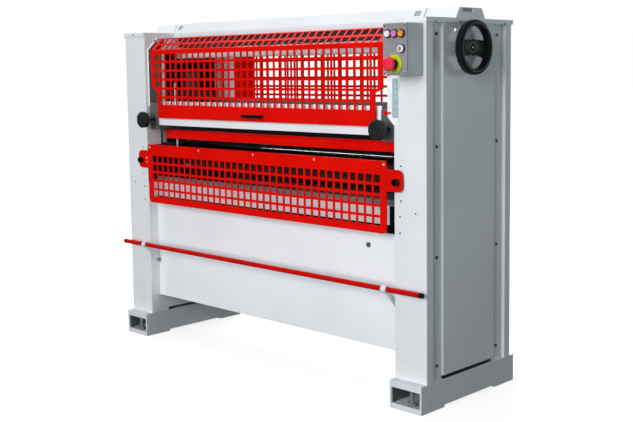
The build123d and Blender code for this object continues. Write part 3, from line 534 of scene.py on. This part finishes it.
front = (0, -1, 0)
boxFace = -0.322  # Y of the box lid, where the profiles of what is on it have height 0
switchShank = [(0, -0.018), (0.008, -0.018), (0.008, 0.0035)]
buttons = {"across": {"white": 0.73275, "red": 0.76075, "orange": 0.78875}, "height": 1.247,
           "radius": 0.0105, "rim": 0.0035, "face": 0.010, "edge": 0.002,
           "dish": 0.0008, "dishRadius": 0.0070}
pinkLens = moulded("pinkLens")
for colour, across in buttons["across"].items():
    look = buttons
    shape = bmesh.new()
    dish = look["face"] - look["dish"]
    profile = switchShank + rounded(look["radius"], look["rim"], look["face"], look["edge"])
    profile += [(look["dishRadius"], dish), (0, dish)]
    addLathe(shape, profile, placed((across, boxFace, look["height"]), front))
    node = f"button_{colour}"
    lens = pinkLens if colour == "red" else None
    finished(f"{colour}PushButton", shape, f"{colour}_button", node, [node], material=lens)

stopButton = {"across": 0.76075, "height": 1.151,
              "radius": 0.0235, "rim": 0.0298, "top": 0.0392, "edge": 0.009,
              "under": [(0, 0.0275), (0.0215, 0.0275), (0.0230, 0.0283)],
              "crown": [(0.008, 0.0398), (0, 0.040)],
              "stem": [(0, -0.018), (0.0105, -0.018), (0.0105, 0.005), (0.014, 0.005), (0.014, 0.024),
                       (0.017, 0.028), (0, 0.028)]}
look = stopButton
place = placed((look["across"], boxFace, look["height"]), front)
shape = bmesh.new()
dome = rounded(look["radius"], look["rim"], look["top"], look["edge"], 6)
addLathe(shape, look["under"] + dome + look["crown"], place, 64)
finished("stopMushroom", shape, "red_button", "stop_button", ["stop_button"], 30)
shape = bmesh.new()
addLathe(shape, look["stem"], place)
finished("stopStem", shape, "black_plastic", "stop_button", angle=30)

selector = {"across": 0.78875, "height": 1.199,
            "radius": 0.0118, "rim": 0.0035, "face": 0.0100, "edge": 0.002,
            "well": [(0.0072, 0.0100), (0.0066, 0.0082), (0, 0.0082)],
            "grip": (0.0052, 0.0070, 0.0128), "gripOut": 0.0115, "gripEdge": 0.0012}
look = selector
shape = bmesh.new()
profile = switchShank + rounded(look["radius"], look["rim"], look["face"], look["edge"]) + look["well"]
addLathe(shape, profile, placed((look["across"], boxFace, look["height"]), front))
finished("selectorRing", shape, "white_button", "selector_knob", ["selector_knob"])
shape = bmesh.new()
centre = (look["across"], boxFace - look["gripOut"], look["height"])
addBox(shape, centre, look["grip"], look["gripEdge"])
finished("selectorGrip", shape, "green_dial", "selector_knob")

# hub: radius and height over the back; face: radius and height over the front
starKnob = {"across": 0.649, "height": 0.936, "radius": 0.0333, "back": -0.262, "front": -0.296,
            "hub": [(0, 0), (0.015, 0), (0.015, 0.006), (0.028, 0.009)], "rim": (0.012, 0.014),
            "shoulder": 0.002, "edge": 0.005, "lobes": 7, "wave": 0.018,
            "face": [(0.019, -0.001), (0.016, -0.003), (0.015, 0), (0, 0)],
            "spindleFrom": -0.1166, "spindle": [(0, 0), (0.0055, 0), (0.0055, 0.150), (0, 0.150)]}
knobMoulding = moulded("knobMoulding")
for end, side in ends.items():
    look = starKnob
    shape = bmesh.new()
    length = look["back"] - look["front"]
    profile = look["hub"] + [(look["radius"], look["rim"][0])]
    profile += rounded(look["radius"], look["rim"][1], length - look["shoulder"], look["edge"])
    profile += [(radius, length + over) for radius, over in look["face"]]
    place = placed((side * look["across"], look["back"], look["height"]), front)
    addLathe(shape, profile, place, 112, look["lobes"], look["wave"])
    place = placed((side * look["across"], look["spindleFrom"], look["height"]), front)
    addLathe(shape, look["spindle"], place, 24)
    node = f"doctor_knob_{end}"
    finished(f"starKnob{end.capitalize()}", shape, "black_plastic", node, [node], 30, knobMoulding)

# the lock's head, in front of the face and outside the shank, is drawn in to the radius
panelLock = {"axis": (0.531, 0.528), "face": -0.195, "shank": 0.0081, "radius": 0.0087}
shape = copied("panel_lock")
for vert in shape.verts:
    spoke = Vector((vert.co.x - panelLock["axis"][0], 0, vert.co.z - panelLock["axis"][1]))
    if vert.co.y < panelLock["face"] and spoke.length > panelLock["shank"]:
        vert.co -= spoke.normalized() * (spoke.length - panelLock["radius"])
finished("lockBarrel", shape, "dark_plastic", "panel_lock", ["panel_lock"], 30, greyCasting)
print("buttons and knobs turned")

handwheel = {"centre": (0.846, -0.022, 1.203), "radius": 0.091, "rim": 0.020, "depth": 0.014, "round": 0.008,
             "dish": 0.005, "bore": 0.0122, "hub": 0.024, "hubBack": -0.027, "hubChamfer": 0.002,
             "hubRim": -0.006, "hubFace": -0.001, "hubEdge": 0.003,
             "armFrom": 0.014, "armLevel": -0.009, "boss": 0.027, "arm": 0.022, "rows": 14,
             "web": 0.007, "webThin": 0.45, "widenFrom": 0.6, "widen": 0.048, "flare": 0.026}


def wheelRim(look):
    # profile of the rim, a block with round corners
    points = []
    for out, up, start in ((1, 1, 0), (-1, 1, 1), (-1, -1, 2), (1, -1, 3)):
        middle = look["radius"] - look["rim"] / 2 + out * (look["rim"] / 2 - look["round"])
        level = look["dish"] + up * (look["depth"] - look["round"])
        for count in range(6):
            angle = pi / 2 * (start + count / 5)
            points.append((middle + look["round"] * cos(angle), level + look["round"] * sin(angle)))
    return points + points[:1]


def addArm(shape, place, look, end):
    # a broad arm that flares into the rim, as two faces of 5 columns
    rows = look["rows"]
    grid = {}
    reach = look["radius"] - look["rim"] / 2 - look["armFrom"]
    for row in range(rows + 1):
        share = row / rows
        half = look["boss"] + (look["arm"] - look["boss"]) * share
        half += look["widen"] * max(0.0, share - look["widenFrom"]) ** 2
        for column in range(5):
            rise = half * (column / 2 - 1)
            if end > 0 and column > 2:  # the rear arm runs down into the rim
                rise += look["flare"] * share ** 2 * (column - 2) / 2
            thick = look["web"] * (1 - look["webThin"] * abs(column / 2 - 1) ** 3)
            level = look["armLevel"] + (look["dish"] - look["armLevel"]) * share ** 2
            for face in (-1, 1):
                corner = Vector((rise, end * (look["armFrom"] + reach * share), level + face * thick))
                grid[row, column, face] = shape.verts.new(place @ corner)
    for row in range(rows):
        for column in range(4):
            for face in (-1, 1):
                shape.faces.new([grid[row, column, face], grid[row + 1, column, face],
                                 grid[row + 1, column + 1, face], grid[row, column + 1, face]])
        for column in (0, 4):
            shape.faces.new([grid[row, column, -1], grid[row + 1, column, -1],
                             grid[row + 1, column, 1], grid[row, column, 1]])
    for row in (0, rows):
        for column in range(4):
            shape.faces.new([grid[row, column, -1], grid[row, column + 1, -1],
                             grid[row, column + 1, 1], grid[row, column, 1]])


def handwheelPiece():
    look = handwheel
    shape = bmesh.new()
    place = placed(look["centre"], (1, 0, 0))
    addLathe(shape, wheelRim(look), place, 96)
    back, chamfer = look["hubBack"], look["hubChamfer"]
    hub = [(look["bore"], back), (look["hub"] - chamfer, back), (look["hub"], back + chamfer)]
    hub += rounded(look["hub"], look["hubRim"], look["hubFace"], look["hubEdge"])
    hub += [(look["bore"], look["hubFace"]), (look["bore"], back)]
    addLathe(shape, hub, place, 64)
    bmesh.ops.remove_doubles(shape, verts=shape.verts, dist=latheMerge)
    for end in (-1, 1):
        addArm(shape, place, look, end)
    return finished("handwheelMoulding", shape, "black_plastic", "handwheel", ["handwheel"], 40)


handwheelPiece()

# sheets just behind the slots of the hood and its ends
slotSheet = {"hood": (0.651, -0.0653, 1.322), "hoodSize": (0.032, 0.001, 0.026), "lean": -30,
             "end": (0.8150, -0.018, 1.327), "endSize": (0.001, 0.064, 0.018)}
shape = bmesh.new()
for side in sides:
    look = slotSheet
    x, y, z = look["hood"]
    addBox(shape, (side * x, y, z), look["hoodSize"], turn=Matrix.Rotation(radians(look["lean"]), 4, "X"))
    x, y, z = look["end"]
    addBox(shape, (side * x, y, z), look["endSize"])
finished("slotSheets", shape, "white_paint", "frame", material=moulded("linerGrey"))

# cheek sheets beside the guard's ends, dark grey-green as painted shade, and the folded white rim in front of
# them: thickness and outline
cheeks = {"inner": 0.685,
          "guardCheeks": (0.0015, ((-0.2215, 1.226), (-0.1710, 1.2755), (-0.1655, 1.2755), (-0.1655, 0.915),
                                   (-0.2215, 0.915))),
          "cheekRims": (0.0055, ((-0.2250, 0.990), (-0.2250, 1.2275), (-0.1730, 1.2795), (-0.1710, 1.2765),
                                 (-0.2220, 1.2260), (-0.2220, 0.990)))}


def cheekPair(name, material):
    thick, outline = cheeks[name]
    shape = bmesh.new()
    for side in sides:
        rings = [[shape.verts.new((side * (cheeks["inner"] - back), y, z)) for y, z in outline]
                 for back in (0, thick)]
        for ring in rings:
            shape.faces.new(ring)
        for corner in range(len(outline)):
            after = (corner + 1) % len(outline)
            shape.faces.new((rings[0][corner], rings[0][after], rings[1][after], rings[1][corner]))
    return finished(name, shape, "white_paint", "frame", material=material)


cheekPair("guardCheeks", moulded("cheekGrey"))
cheekPair("cheekRims", finishes["white_plate"])


def atEnds(across, half, depth, height):
    # low and high corner of a strip at both ends of the machine
    return [((side * across - half, depth[0], height[0]), (side * across + half, depth[1], height[1]))
            for side in sides]


# strips of folded sheet and lips, and black strips that are painted shade in gaps and beside the lower guard:
# finish, body, then the low and high corner of each strip
trimEdge = 0.0004
thinTrim = {
    "rearCheeks": ("red_paint", "frame", atEnds(0.5955, 0.0605, (0.2355, 0.2375), (0.945, 1.224))),
    # black strips at the covers, under the beam and round the panel: painted shade of the gaps there
    "coverSeals": ("black_plastic", "frame", atEnds(0.8122, 0.004, (-0.144, 0.120), (0.0962, 0.1078))),
    "flapSeal": ("black_plastic", "upper_unit", [((-0.600, -0.1675, 0.8916), (0.600, -0.1655, 0.9120))]),
    "panelSeals": ("black_plastic", "frame", [((-0.6845, -0.1965, 0.577), (0.6845, -0.1945, 0.606)),
                                              ((0.6277, -0.1964, 0.605), (0.6843, -0.1946, 0.6715))]),
    # near-black strips on the posts beside the lower guard: painted shade
    "lowerCheeks": ("casting", "frame", atEnds(0.684, 0.0009, (-0.2380, -0.1660), (0.665, 0.826))),
    "rearFlanges": ("white_paint", "frame", atEnds(0.6705, 0.0140, (0.2355, 0.2375), (0.945, 1.224))),
    "damEdges": ("white_plate", "upper_unit", atEnds(0.61375, 0.00275, (-0.1415, -0.1350), (0.853, 1.088))),
    "lowerDamEdges": ("white_plate", "frame", atEnds(0.6165, 0.0025, (-0.1335, -0.1285), (0.790, 0.850))),
    "hoodLip": ("white_paint", "frame", [((-0.6845, -0.0837, 1.2790), (0.6845, -0.0815, 1.3006))]),
    "beamLip": ("white_paint", "upper_unit", [((-0.620, -0.2253, 0.9980), (0.620, -0.2230, 1.0125))]),
}
for name, (slot, body, strips) in thinTrim.items():
    shape = bmesh.new()
    for low, high in strips:
        centre = [(start + end) / 2 for start, end in zip(low, high)]
        addBox(shape, centre, [end - start for start, end in zip(low, high)], trimEdge)
    finished(name, shape, slot, body, material=beamCoat if name == "beamLip" else None)

# a small plain plate on the side cover, beside the handwheel
barePlate = {"centre": (0.8174, -0.0840, 1.2625), "size": (0.0008, 0.025, 0.022), "edge": 0.0003}
shape = bmesh.new()
addBox(shape, barePlate["centre"], barePlate["size"], barePlate["edge"])
finished("barePlate", shape, "white_plate", "frame", material=metal("plateAlloy"))
print("wheel and trim made")


def newTree(name, inputs):
    tree = bpy.data.node_groups.new(name, "GeometryNodeTree")
    tree.interface.new_socket("Geometry", in_out="INPUT", socket_type="NodeSocketGeometry")
    for label, value in inputs.items():
        kind = "NodeSocketInt" if isinstance(value, int) else "NodeSocketFloat"
        tree.interface.new_socket(label, in_out="INPUT", socket_type=kind).default_value = value
    tree.interface.new_socket("Geometry", in_out="OUTPUT", socket_type="NodeSocketGeometry")
    start = tree.nodes.new("NodeGroupInput")
    return tree, {socket.name: Wire(tree, socket) for socket in start.outputs if socket.name}


def closeTree(geometry, material):
    real = geometry.node("GeometryNodeRealizeInstances", {}, {0: geometry})
    painted = real.node("GeometryNodeSetMaterial", {}, {"Geometry": real, "Material": material})
    end = geometry.tree.nodes.new("NodeGroupOutput")
    geometry.tree.links.new(painted.socket, end.inputs[0])


def vector(start, **parts):
    return start.node("ShaderNodeCombineXYZ", {}, parts)


def moved(geometry, offset):
    return geometry.node("GeometryNodeTransform", {}, {"Geometry": geometry, "Translation": offset})


def pointMesh(name, points, facings=None, sizes=None):
    mesh = bpy.data.meshes.new(name)
    mesh.from_pydata(points, [], [])
    facing = mesh.attributes.new("facing", "FLOAT_VECTOR", "POINT")
    facings = facings or [(0, 0, 1)] * len(points)
    facing.data.foreach_set("vector", [part for outward in facings for part in outward])
    size = mesh.attributes.new("size", "FLOAT", "POINT")
    size.data.foreach_set("value", sizes or [1.0] * len(points))
    return mesh


def grown(name, tree, values, points):
    piece = linked(name, points)
    nodesOn = piece.modifiers.new("nodes", "NODES")
    nodesOn.node_group = tree
    for item in tree.interface.items_tree:
        if item.in_out == "INPUT" and item.name in values:
            nodesOn[item.identifier] = values[item.name]
    graph = bpy.context.evaluated_depsgraph_get()
    mesh = bpy.data.meshes.new_from_object(piece.evaluated_get(graph))
    piece.modifiers.remove(nodesOn)
    piece.data = mesh
    return piece


def onPoints(points, instance):
    facing = points.node("GeometryNodeInputNamedAttribute", {"data_type": "FLOAT_VECTOR"}, {"Name": "facing"})
    turn = points.node("FunctionNodeAlignRotationToVector", {"axis": "Z"}, {"Vector": facing})
    size = points.node("GeometryNodeInputNamedAttribute", {"data_type": "FLOAT"}, {"Name": "size"})
    sockets = {"Points": points, "Instance": instance, "Rotation": turn, "Scale": size}
    return points.node("GeometryNodeInstanceOnPoints", {}, sockets)


def screwHeads(material):
    # pan heads of radius 1 with a cross recess, scaled by each point's size
    tree, given = newTree("screwHeads", {"Height": 0.45, "Dome": 0.20, "Recess": 1.15, "Slot": 0.24})
    start = given["Geometry"]
    head = start.node("GeometryNodeMeshCylinder", {"fill_type": "TRIANGLE_FAN"},
                      {"Vertices": 20, "Fill Segments": 3, "Radius": 1.0, "Depth": given["Height"]})
    place = start.node("GeometryNodeInputPosition")
    x, y, z = (along(place, axis) for axis in "XYZ")
    rise = (1.0 - x * x - y * y) * given["Dome"] * (z > 0.0)
    lift = vector(start, Z=rise + given["Height"] * 0.5)
    head = start.node("GeometryNodeSetPosition", {}, {"Geometry": head, "Offset": lift})
    top = vector(start, Z=given["Height"] + given["Dome"])
    bars = []
    for length, width in ((given["Recess"], given["Slot"]), (given["Slot"], given["Recess"])):
        bar = start.node("GeometryNodeMeshCube", {}, {"Size": vector(start, X=length, Y=width, Z=0.5)})
        bars.append(moved(bar, top))
    cut = start.node("GeometryNodeMeshBoolean", {"operation": "DIFFERENCE"}, {"Mesh 1": head, "Mesh 2": bars})
    closeTree(onPoints(start, cut), material)
    return tree


columnScrews = {"rise": 0.42, "cover": 0.808, "rows": (0.145, 0.51267, 0.88033, 1.248), "flange": 0.171,
                "flangeSize": 0.0056, "postFace": -0.240, "postSize": 0.0030,
                "post": ((0.714, 0.816), (0.714, 0.700), (0.710, 0.648), (0.710, 0.592), (0.776, 0.663)),
                "lid": ((0.719, 1.123), (0.8025, 1.123), (0.719, 1.272), (0.8025, 1.272)), "lidSize": 0.0036,
                "rearRows": 5, "inset": 0.022, "rearSize": 0.0050,
                "cap": (-0.756, -0.244, 1.292), "capSide": (0.8238, 1.2878),
                "capRow": (-0.194, -0.0625, 0.0625, 0.194), "capSize": 0.0034,
                "washer": ((0.0030, 0), (0.0056, 0), (0.0056, 0.0006), (0.0052, 0.0009), (0.0030, 0.0009),
                           (0.0030, 0))}


def screwPoints(look):
    points = []
    for side in sides:
        for row in look["rows"]:
            for y in (-look["flange"], look["flange"]):
                points.append(((side * look["cover"], y, row), (side, 0, 0), look["flangeSize"]))
        across, height = look["capSide"]
        for y in look["capRow"]:
            points.append(((side * across, y, height), (side, 0, 0), look["capSize"]))
        for x, z in look["post"]:
            points.append(((side * x, look["postFace"], z), front, look["postSize"]))
    points.append((look["cap"], front, look["capSize"]))
    for x, z in look["lid"]:
        points.append(((x, boxFace, z), front, look["lidSize"]))
    low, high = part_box("rear_panel")
    for row in range(look["rearRows"]):
        z = low[2] + look["inset"] + (high[2] - low[2] - 2 * look["inset"]) * row / (look["rearRows"] - 1)
        for side in sides:
            points.append(((side * (high[0] - look["inset"]), high[1], z), (0, 1, 0), look["rearSize"]))
    return pointMesh("screwPoints", *(list(part) for part in zip(*points)))


shape = bmesh.new()
for x, z in columnScrews["lid"]:
    addLathe(shape, columnScrews["washer"], placed((x, boxFace, z), front), 28)
bmesh.ops.remove_doubles(shape, verts=shape.verts, dist=latheMerge)
finished("lidWashers", shape, "zinc_steel", "frame")
screws = grown("columnScrewHeads", screwHeads(metal("darkScrew")), {"Height": columnScrews["rise"]},
               screwPoints(columnScrews))
onBody(screws, "frame", ["panel_screws"])

guardScrews = {"face": -0.252, "rise": 0.40, "top": 0.819, "spread": (-0.650, -0.325, 0.0, 0.325, 0.650),
               "size": 0.0042, "rivets": ((-0.673, 0.773), (-0.673, 0.755)), "rivetSize": 0.0040}
look = guardScrews
points = [(x, look["face"], look["top"]) for x in look["spread"]]
points += [(x, look["face"], z) for x, z in look["rivets"]]
sizes = [look["size"]] * len(look["spread"]) + [look["rivetSize"]] * len(look["rivets"])
heads = grown("guardScrewHeads", screwHeads(finishes["zinc_steel"]), {"Height": look["rise"]},
              pointMesh("guardPoints", points, [front] * len(points), sizes))
onBody(heads, "lower_guard")
print("screws set")


def knurledHeads(material):
    # a turned cap with ribs round its rim
    tree, given = newTree("knurledHeads", {"Ribs": 24, "Radius": 0.0112, "Height": 0.013, "Rib": 0.0020})
    start = given["Geometry"]
    cap = start.node("GeometryNodeMeshCylinder", {"fill_type": "TRIANGLE_FAN"},
                     {"Vertices": 48, "Radius": given["Radius"], "Depth": given["Height"],
                      "Fill Segments": 2})
    ring = start.node("GeometryNodeMeshCircle", {}, {"Vertices": given["Ribs"], "Radius": given["Radius"]})
    size = vector(start, X=given["Rib"], Y=given["Rib"], Z=given["Height"] * 0.8)
    rib = start.node("GeometryNodeMeshCube", {}, {"Size": size})
    turn = start.node("FunctionNodeAlignRotationToVector", {"axis": "X"},
                      {"Vector": start.node("GeometryNodeInputPosition")})
    ribs = start.node("GeometryNodeInstanceOnPoints", {}, {"Points": ring, "Instance": rib, "Rotation": turn})
    whole = start.node("GeometryNodeJoinGeometry", {}, {0: [ribs, cap]})
    closeTree(onPoints(start, moved(whole, vector(start, Z=given["Height"] * 0.5))), material)
    return tree


lugKnob = {"across": 0.707, "height": 0.763, "back": -0.255, "ribs": 24}
knurlTree = knurledHeads(finishes["black_plastic"])
for end, side in ends.items():
    look = lugKnob
    spot = pointMesh("lugPoint", [(side * look["across"], look["back"], look["height"])], [front])
    knob = grown(f"lugKnob{end.capitalize()}", knurlTree, {"Ribs": look["ribs"]}, spot)
    onBody(knob, f"guard_knob_{end}")


def threadedRods(material):
    # a core with a raised helix
    tree, given = newTree("threadedRods", {"Radius": 0.012, "Length": 0.3, "Pitch": 0.005, "Depth": 0.0012})
    start = given["Geometry"]
    reach = given["Radius"] - given["Depth"]
    core = start.node("GeometryNodeMeshCylinder", {},
                      {"Vertices": 24, "Radius": reach, "Depth": given["Length"]})
    core = moved(core, vector(start, Z=given["Length"] * 0.5))
    helix = start.node("GeometryNodeCurveSpiral", {},
                       {"Resolution": 20, "Rotations": given["Length"] / given["Pitch"],
                        "Start Radius": reach, "End Radius": reach, "Height": given["Length"]})
    ridge = start.node("GeometryNodeCurvePrimitiveCircle", {}, {"Resolution": 4, "Radius": given["Depth"]})
    thread = start.node("GeometryNodeCurveToMesh", {},
                        {"Curve": helix, "Profile Curve": ridge, "Fill Caps": True})
    whole = start.node("GeometryNodeJoinGeometry", {}, {0: [core, thread]})
    closeTree(onPoints(start, whole), material)
    return tree


# past "from" the shaft is drawn in, so that its nut sits deep in the hub
crossShaft = {"from": 0.8380, "drawnIn": 0.30, "axis": (-0.022, 1.203), "capFrom": 0.8425, "glint": 0.0036,
              "bar": ((0.92, 0.93, 0.95), (0.97, 0.98, 1.0)), "cap": (0.010, 0.010, 0.011), "rough": 0.28}


def shaftSteel():
    # drawn bar painted near white, painted light that makes it bright in its shade, with a black cap round
    # the bright middle of its end, which is left as a painted glint
    look = crossShaft
    material, shader, coords = newMaterial("shaftSteel")
    y, z = along(coords, "Y") - look["axis"][0], along(coords, "Z") - look["axis"][1]
    cap = (along(coords, "X") > look["capFrom"]) * (y * y + z * z > look["glint"] ** 2)
    marks = noise(scaled(coords, turned), 1.0, 4.0)
    bar = marks.mix(*(paintOf(colour) for colour in look["bar"]))
    feed(shader, {"Base Color": cap.mix(bar, paintOf(look["cap"])), "Metallic": 0.0,
                  "Roughness": look["rough"] + 0.08 * marks, "Normal": bump(marks, 0.05, 0.0004)})
    return material


shape = copied("lift_cross_shaft")
for vert in shape.verts:
    past = vert.co.x - crossShaft["from"]
    if past > 0:
        vert.co.x = crossShaft["from"] + crossShaft["drawnIn"] * past
finished("crossShaft", shape, "bright_steel", "handwheel", ["lift_cross_shaft"], material=shaftSteel())

liftScrew = {"across": 0.765, "y": -0.022, "low": 0.862, "high": 1.170, "radius": 0.012, "pitch": 0.005}
rodTree = threadedRods(oiledSteel)
for end, side in ends.items():
    look = liftScrew
    spot = pointMesh("screwFoot", [(side * look["across"], look["y"], look["low"])])
    values = {"Radius": look["radius"], "Length": look["high"] - look["low"], "Pitch": look["pitch"]}
    rod = grown(f"liftThread{end.capitalize()}", rodTree, values, spot)
    onBody(rod, f"lift_screw_{end}")
print("threads cut")


def scaleTicks(material):
    # a row of marks up the strip, each fifth one longer
    tree, given = newTree("scaleTicks", {"Count": 27, "Pitch": 0.0045, "Length": 0.006, "Width": 0.0007})
    start = given["Geometry"]
    line = start.node("GeometryNodeMeshLine", {},
                      {"Count": given["Count"], "Offset": vector(start, Z=given["Pitch"])})
    size = vector(start, X=given["Length"], Y=0.0004, Z=given["Width"])
    mark = start.node("GeometryNodeMeshCube", {}, {"Size": size})
    mark = moved(mark, vector(start, X=given["Length"] * 0.5))
    long = 2.0 - 0.9 * (start.node("GeometryNodeInputIndex") % 5.0 > 0.5)
    sockets = {"Points": line, "Instance": mark, "Scale": vector(start, X=long, Y=1.0, Z=1.0)}
    closeTree(onPoints(start, start.node("GeometryNodeInstanceOnPoints", {}, sockets)), material)
    return tree


scaleMarks = {"left": 0.683, "face": -0.2440, "low": 0.981, "pitch": 0.0045, "count": 27,
              "numberEach": 5, "perMark": 2, "numberGap": 0.0135, "numberSize": 0.0095, "thick": 0.0002}
scaleInk = moulded("scaleInk")
look = scaleMarks
ticks = grown("scaleTicks", scaleTicks(scaleInk), {"Count": look["count"], "Pitch": look["pitch"]},
              pointMesh("tickFoot", [(look["left"], look["face"], look["low"])]))
onBody(ticks, "frame")


def numberMesh(name, words, look, corner):
    letters = bpy.data.curves.new(name, "FONT")
    letters.body = words
    letters.size = look["numberSize"]
    letters.align_y = "CENTER"
    letters.extrude = look["thick"]
    helper = linked(name, letters)
    graph = bpy.context.evaluated_depsgraph_get()
    mesh = bpy.data.meshes.new_from_object(helper.evaluated_get(graph))
    bpy.data.objects.remove(helper)
    mesh.transform(Matrix.Translation(corner) @ Matrix.Rotation(pi / 2, 4, "X"))
    mesh.materials.clear()
    mesh.materials.append(scaleInk)
    return mesh


for count in range(0, look["count"], look["numberEach"]):
    corner = (look["left"] + look["numberGap"], look["face"], look["low"] + count * look["pitch"])
    name = f"scaleNumber{count}"
    number = linked(name, numberMesh(name, str(look["perMark"] * count), look, corner))
    onBody(number, "frame")
print("scale marked")

view = {"place": (2.85164, -2.80765, 1.14015), "forward": (-0.69807, 0.70913, -0.09915),
        "right": (0.71351, 0.70052, -0.01326), "lens": 57.734, "sensor": 36.0, "shift": -0.0653}
camera = linked("camera", bpy.data.cameras.new("camera"))
right, ahead = Vector(view["right"]).normalized(), Vector(view["forward"]).normalized()
turn = Matrix((right, right.cross(ahead), -ahead)).transposed().to_4x4()
camera.matrix_world = Matrix.Translation(view["place"]) @ turn
camera.data.lens = view["lens"]
camera.data.sensor_width = view["sensor"]
camera.data.shift_y = view["shift"]
bpy.context.scene.camera = camera
bpy.context.scene.view_settings.view_transform = "Standard"

plainLight = (1.0, 1.0, 1.0)
coolLight = (0.80, 0.98, 1.0)
# lamps: place, what they face, size, power, colour, whether they show in shiny metal
studio = {"lamps": {"key": ((1.2, -3.4, 1.5), (0, -0.2, 0.75), 2.4, 38, plainLight, False),
                    "top": ((0.1, -1.0, 4.2), (0, 0, 1.0), 2.5, 36, plainLight, False),
                    "side": ((2.1, -1.35, 0.75), (0.82, -0.05, 0.42), 0.8, 3.2, coolLight, True),
                    "back": ((2.85, 2.63, 1.39), (0.82, 0.0, 0.80), 0.60, 8.6, coolLight, True),
                    "sheen": ((-1.9, 0.8, 3.7), (0.3, -0.1, 1.2), 2.0, 40, plainLight, True),
                    "left": ((-3.6, -0.4, 1.2), (-0.8, 0, 0.7), 1.6, 22, plainLight, False),
                    "rear": ((-2.0, 3.2, 1.35), (0, 0, 0.85), 2.2, 110, plainLight, True)},
          "sunFrom": (0.08, -0.97, 0.20), "sunPower": 2.05, "sunSpread": 45,
          "sky": [(0.50, (0.035, 0.04, 0.04)), (0.91, (0.05, 0.055, 0.06)), (0.96, (0.15, 0.16, 0.165)),
                  (1.0, (0.30, 0.31, 0.32))],
          "rearGlow": (0.22, 0.22, 0.22), "rearFade": (0.1, 0.8)}
for name, (place, aim, size, power, colour, shiny) in studio["lamps"].items():
    lamp = linked(name, bpy.data.lights.new(name, "AREA"))
    lamp.data.energy = power
    lamp.data.size = size
    lamp.data.color = colour
    lamp.visible_glossy = shiny
    lamp.visible_camera = False
    lamp.matrix_world = placed(place, Vector(place) - Vector(aim))

sun = linked("sun", bpy.data.lights.new("sun", "SUN"))
sun.data.energy = studio["sunPower"]
sun.data.angle = radians(studio["sunSpread"])
sun.visible_glossy = False
sun.matrix_world = placed((0, 0, 3), studio["sunFrom"])

# the camera sees white, and the machine mirrors a grey sky that is brighter overhead and behind
world = bpy.data.worlds.new("studio")
bpy.context.scene.world = world
world.use_nodes = True
tree = world.node_tree
tree.nodes.clear()
seen = Wire(tree).node("ShaderNodeLightPath", output="Is Camera Ray")
white = seen.node("ShaderNodeBackground", {}, {"Color": (1, 1, 1, 1), "Strength": 1.0})
toward = seen.node("ShaderNodeTexCoord", output="Generated")
height = along(toward, "Z") * 0.5 + 0.5
shade = height.node("ShaderNodeValToRGB", {"stops": studio["sky"]}, {0: height})
shade = step(along(toward, "Y"), *studio["rearFade"]).mix(shade, paintOf(studio["rearGlow"]))
sky = seen.node("ShaderNodeBackground", {}, {"Color": shade})
both = seen.node("ShaderNodeMixShader", {}, {0: seen, 1: sky, 2: white})
tree.links.new(both.socket, tree.nodes.new("ShaderNodeOutputWorld").inputs[0])

# the floor's own glow fades to white between two distances from the machine
ground = {"half": 30.0, "colour": (0.30, 0.30, 0.30), "shade": (0.28, 0.28, 0.28), "clouds": 1.5,
          "rough": 0.8, "glow": (0.82, 0.82, 0.82), "fade": (1.2, 2.6)}
shape = bmesh.new()
bmesh.ops.create_grid(shape, x_segments=8, y_segments=8, size=ground["half"])
mesh = bpy.data.meshes.new("floor")
shape.to_mesh(mesh)
shape.free()
floor = linked("floor", mesh)
material, shader, coords = newMaterial("paleFloor")
x, y = along(coords, "X"), along(coords, "Y")
far = step(x * x + y * y, *(distance ** 2 for distance in ground["fade"]))
feed(shader, {"Base Color": clouds(coords, ground["clouds"], 0.3, 0.7).mix(*lifted(ground, 1.0)),
              "Roughness": ground["rough"],
              "Emission Color": far.mix(paintOf(ground["glow"]), (1, 1, 1, 1)), "Emission Strength": 1.0})
mesh.materials.append(material)
floor.visible_diffuse = False  # its bounce would wash out the shaded sides
floor.visible_glossy = False
floor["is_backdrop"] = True
print("studio lit")

low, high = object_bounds()
